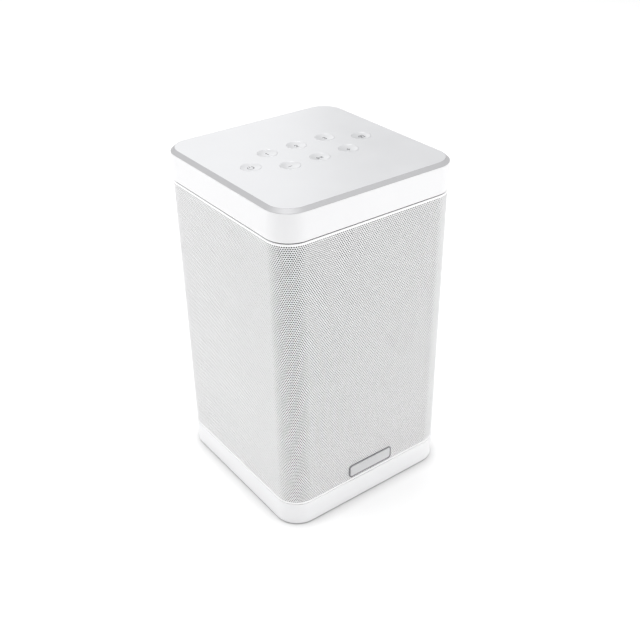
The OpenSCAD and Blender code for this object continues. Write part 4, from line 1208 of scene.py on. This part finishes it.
def makeKeyMat(setup):
    low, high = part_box("key_mat")
    thick, halfX, halfY = setup["thick"], high[0], high[1]
    inner = setup["middleInset"]
    outline = softCorners([(inner, 0, 0), (0, 0, 0), (0, thick, 0.2 * mm), (inner, thick, 0)], 3)
    bm = sweepRect(outline, halfX, halfY, setup["corner"], 6)
    bmesh.ops.translate(bm, vec=(0, 0, low[2]), verts=bm.verts)
    web = looseObject("keyMatWeb", bm)
    cuts = bmesh.new()
    holes = [(place, setup["domeFoot"]) for place in keySetup["places"].values()]
    holes += [(place, setup["screwHole"]) for place in setup["screws"]]
    for (x, y), r in holes:
        turned([(0, -past), (r, -past), (r, thick + past), (0, thick + past)], (x, y, low[2]),
               segments=32, bm=cuts)
    carve(web, [cuts])
    finishPiece(web, "matSilicone", ["key_mat"])
    foot, top, wall, tall = setup["domeFoot"], setup["domeTop"], setup["domeWall"], high[2] - low[2]
    for name, (x, y) in keySetup["places"].items():
        shell = softCorners([
            (0, tall, 0), (top, tall, 0.5 * mm), (foot - 0.35 * mm, thick, 0.5 * mm), (foot, thick, 0),
            (foot, 0, 0), (foot - wall, 0, 0), (top - wall, tall - thick, 0.3 * mm),
            (0, tall - thick, 0)], 4)
        dome = looseObject(name + "Dome", turned(shell, (x, y, low[2]), segments=32))
        finishPiece(dome, "matSilicone")
        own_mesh(dome)
    print("key mat made")


makeKeyMat(matSetup)

# the wadding in the chamber: a crowned block of fibre whose sides pull in between its corners

waddingSetup = {
    "steps": 26, "pull": 2.2 * mm, "crown": 0.55,
    "squareness": 3.2, "fullness": 0.45, "tuft": 0.35 * mm,
}


def makeWadding(setup):
    low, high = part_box("damping_pad")
    middle = [(low[i] + high[i]) / 2 for i in range(3)]
    half = [(high[i] - low[i]) / 2 for i in range(3)]
    bm = bmesh.new()
    steps, crown, square = setup["steps"], setup["crown"], setup["squareness"]
    sides = []
    for front in (-1, 1):
        grid = []
        for j in range(steps + 1):
            row = []
            for i in range(steps + 1):
                u, v = 2 * i / steps - 1, 2 * j / steps - 1
                rise = ((1 - abs(u) ** square) * (1 - abs(v) ** square)) ** setup["fullness"]
                tuft = 0.5 * math.sin(9.1 * u + 4 * v) * math.sin(7.3 * v - 3 * u) * rise
                x = middle[0] + u * (half[0] - setup["pull"] * (1 - v * v) * abs(u))
                z = middle[2] + v * (half[2] - setup["pull"] * (1 - u * u) * abs(v))
                swell = half[1] * (1 - crown + crown * rise) - setup["tuft"] * (1 + tuft)
                y = middle[1] + front * swell
                row.append(bm.verts.new((x, y, z)))
            grid.append(row)
        for a, b in zip(grid, grid[1:]):
            for i in range(steps):
                bm.faces.new((a[i], a[i + 1], b[i + 1], b[i]))
        edge = [grid[0][i] for i in range(steps)] + [grid[j][steps] for j in range(steps)]
        edge += [grid[steps][i] for i in range(steps, 0, -1)] + [grid[j][0] for j in range(steps, 0, -1)]
        sides.append(edge)
    bridge(bm, sides[0], sides[1])
    pad = looseObject("chamberWadding", bm)
    smoothing = pad.modifiers.new("round", "SUBSURF")
    smoothing.levels = smoothing.render_levels = 1
    settle(pad)
    finishPiece(pad, "wadding", ["damping_pad"], smooth=70)
    print("wadding made")


makeWadding(waddingSetup)

# everything else keeps its own shape, with its edges softened and its own finish

innerParts = {      # node: finish, edge softening in millimetres
    "cabinet": ("blackPlastic", 0.4), "front_baffle": ("blackPlastic", 0.3),
    "cabinet_gasket": ("footRubber", 0.1),
    "woofer_frame": ("framePaint", 0.25), "woofer_gasket": ("footRubber", 0.2),
    "woofer_surround": ("footRubber", 0),
    "woofer_cone": ("conePaper", 0), "woofer_dust_cap": ("dustCapPlastic", 0),
    "woofer_spider": ("spiderCloth", 0),
    "woofer_coil": ("coilCopper", 0), "woofer_top_plate": ("brightSteel", 0.2),
    "woofer_magnet": ("ferrite", 0.4),
    "woofer_yoke": ("brightSteel", 0.3), "tweeter_plate": ("framePaint", 0.25),
    "tweeter_dome": ("dustCapPlastic", 0),
    "tweeter_coil": ("coilCopper", 0), "tweeter_top_plate": ("brightSteel", 0.2),
    "tweeter_magnet": ("ferrite", 0.3),
    "tweeter_yoke": ("brightSteel", 0.2), "mains_inlet": ("socketPlastic", 0.25),
    "inlet_pins": ("brightSteel", 0.3),
    "line_socket": ("socketPlastic", 0.2), "usb_socket": ("brightSteel", 0.12),
    "network_socket": ("brightSteel", 0.15),
    "control_board": ("circuitBoard", 0.08), "main_board": ("circuitBoard", 0.08),
    "power_board": ("circuitBoard", 0.08),
    "wireless_module": ("brightSteel", 0.2), "heat_sink": ("sinkAluminium", 0.15),
    "transformer": ("spiderCloth", 0.4),
    "capacitors": ("socketPlastic", 0.5), "case_screws": ("screwSteel", 0.15),
    "driver_screws": ("screwSteel", 0.12),
    "board_screws": ("brightSteel", 0.12), "driver_leads": ("leadInsulation", 0),
    "control_ribbon": ("ribbonGrey", 0),
}


softSetup = {
    "mergeWithin": 0.001 * mm, "flatWithin": 0.5, "bevelAngle": 35, "smoothAngle": 38,     # degrees
    "smallEdge": 0.2,       # in millimetres: edges no wider than this get one step
}


def bodyName(node):
    body = body_of(nodes[node])
    return body if isinstance(body, str) else list(body)[0]


def softPart(node, finish, edge):
    bm = bmesh.new()
    bm.from_mesh(nodes[node].data)
    bmesh.ops.remove_doubles(bm, verts=bm.verts, dist=softSetup["mergeWithin"])
    flat = math.radians(softSetup["flatWithin"])
    bmesh.ops.dissolve_limit(bm, angle_limit=flat, verts=bm.verts, edges=bm.edges)
    words = node.split("_")
    name = words[0] + "".join(word.capitalize() for word in words[1:])
    name += "Body" if name in nodes else ""
    obj = looseObject(name, bm)
    obj.data.materials.clear()
    if edge:
        soft = obj.modifiers.new("edges", "BEVEL")
        soft.width = edge * mm
        soft.segments = 2 if edge > softSetup["smallEdge"] else 1
        soft.limit_method = "ANGLE"
        soft.angle_limit = math.radians(softSetup["bevelAngle"])
        even = obj.modifiers.new("shading", "WEIGHTED_NORMAL")
        even.keep_sharp = True
        settle(obj)
    finishPiece(obj, finish, [node], body=bodyName(node), smooth=softSetup["smoothAngle"])


for nodeName, (finishName, edgeSize) in innerParts.items():
    softPart(nodeName, finishName, edgeSize)
print("inner parts finished:", len(innerParts))
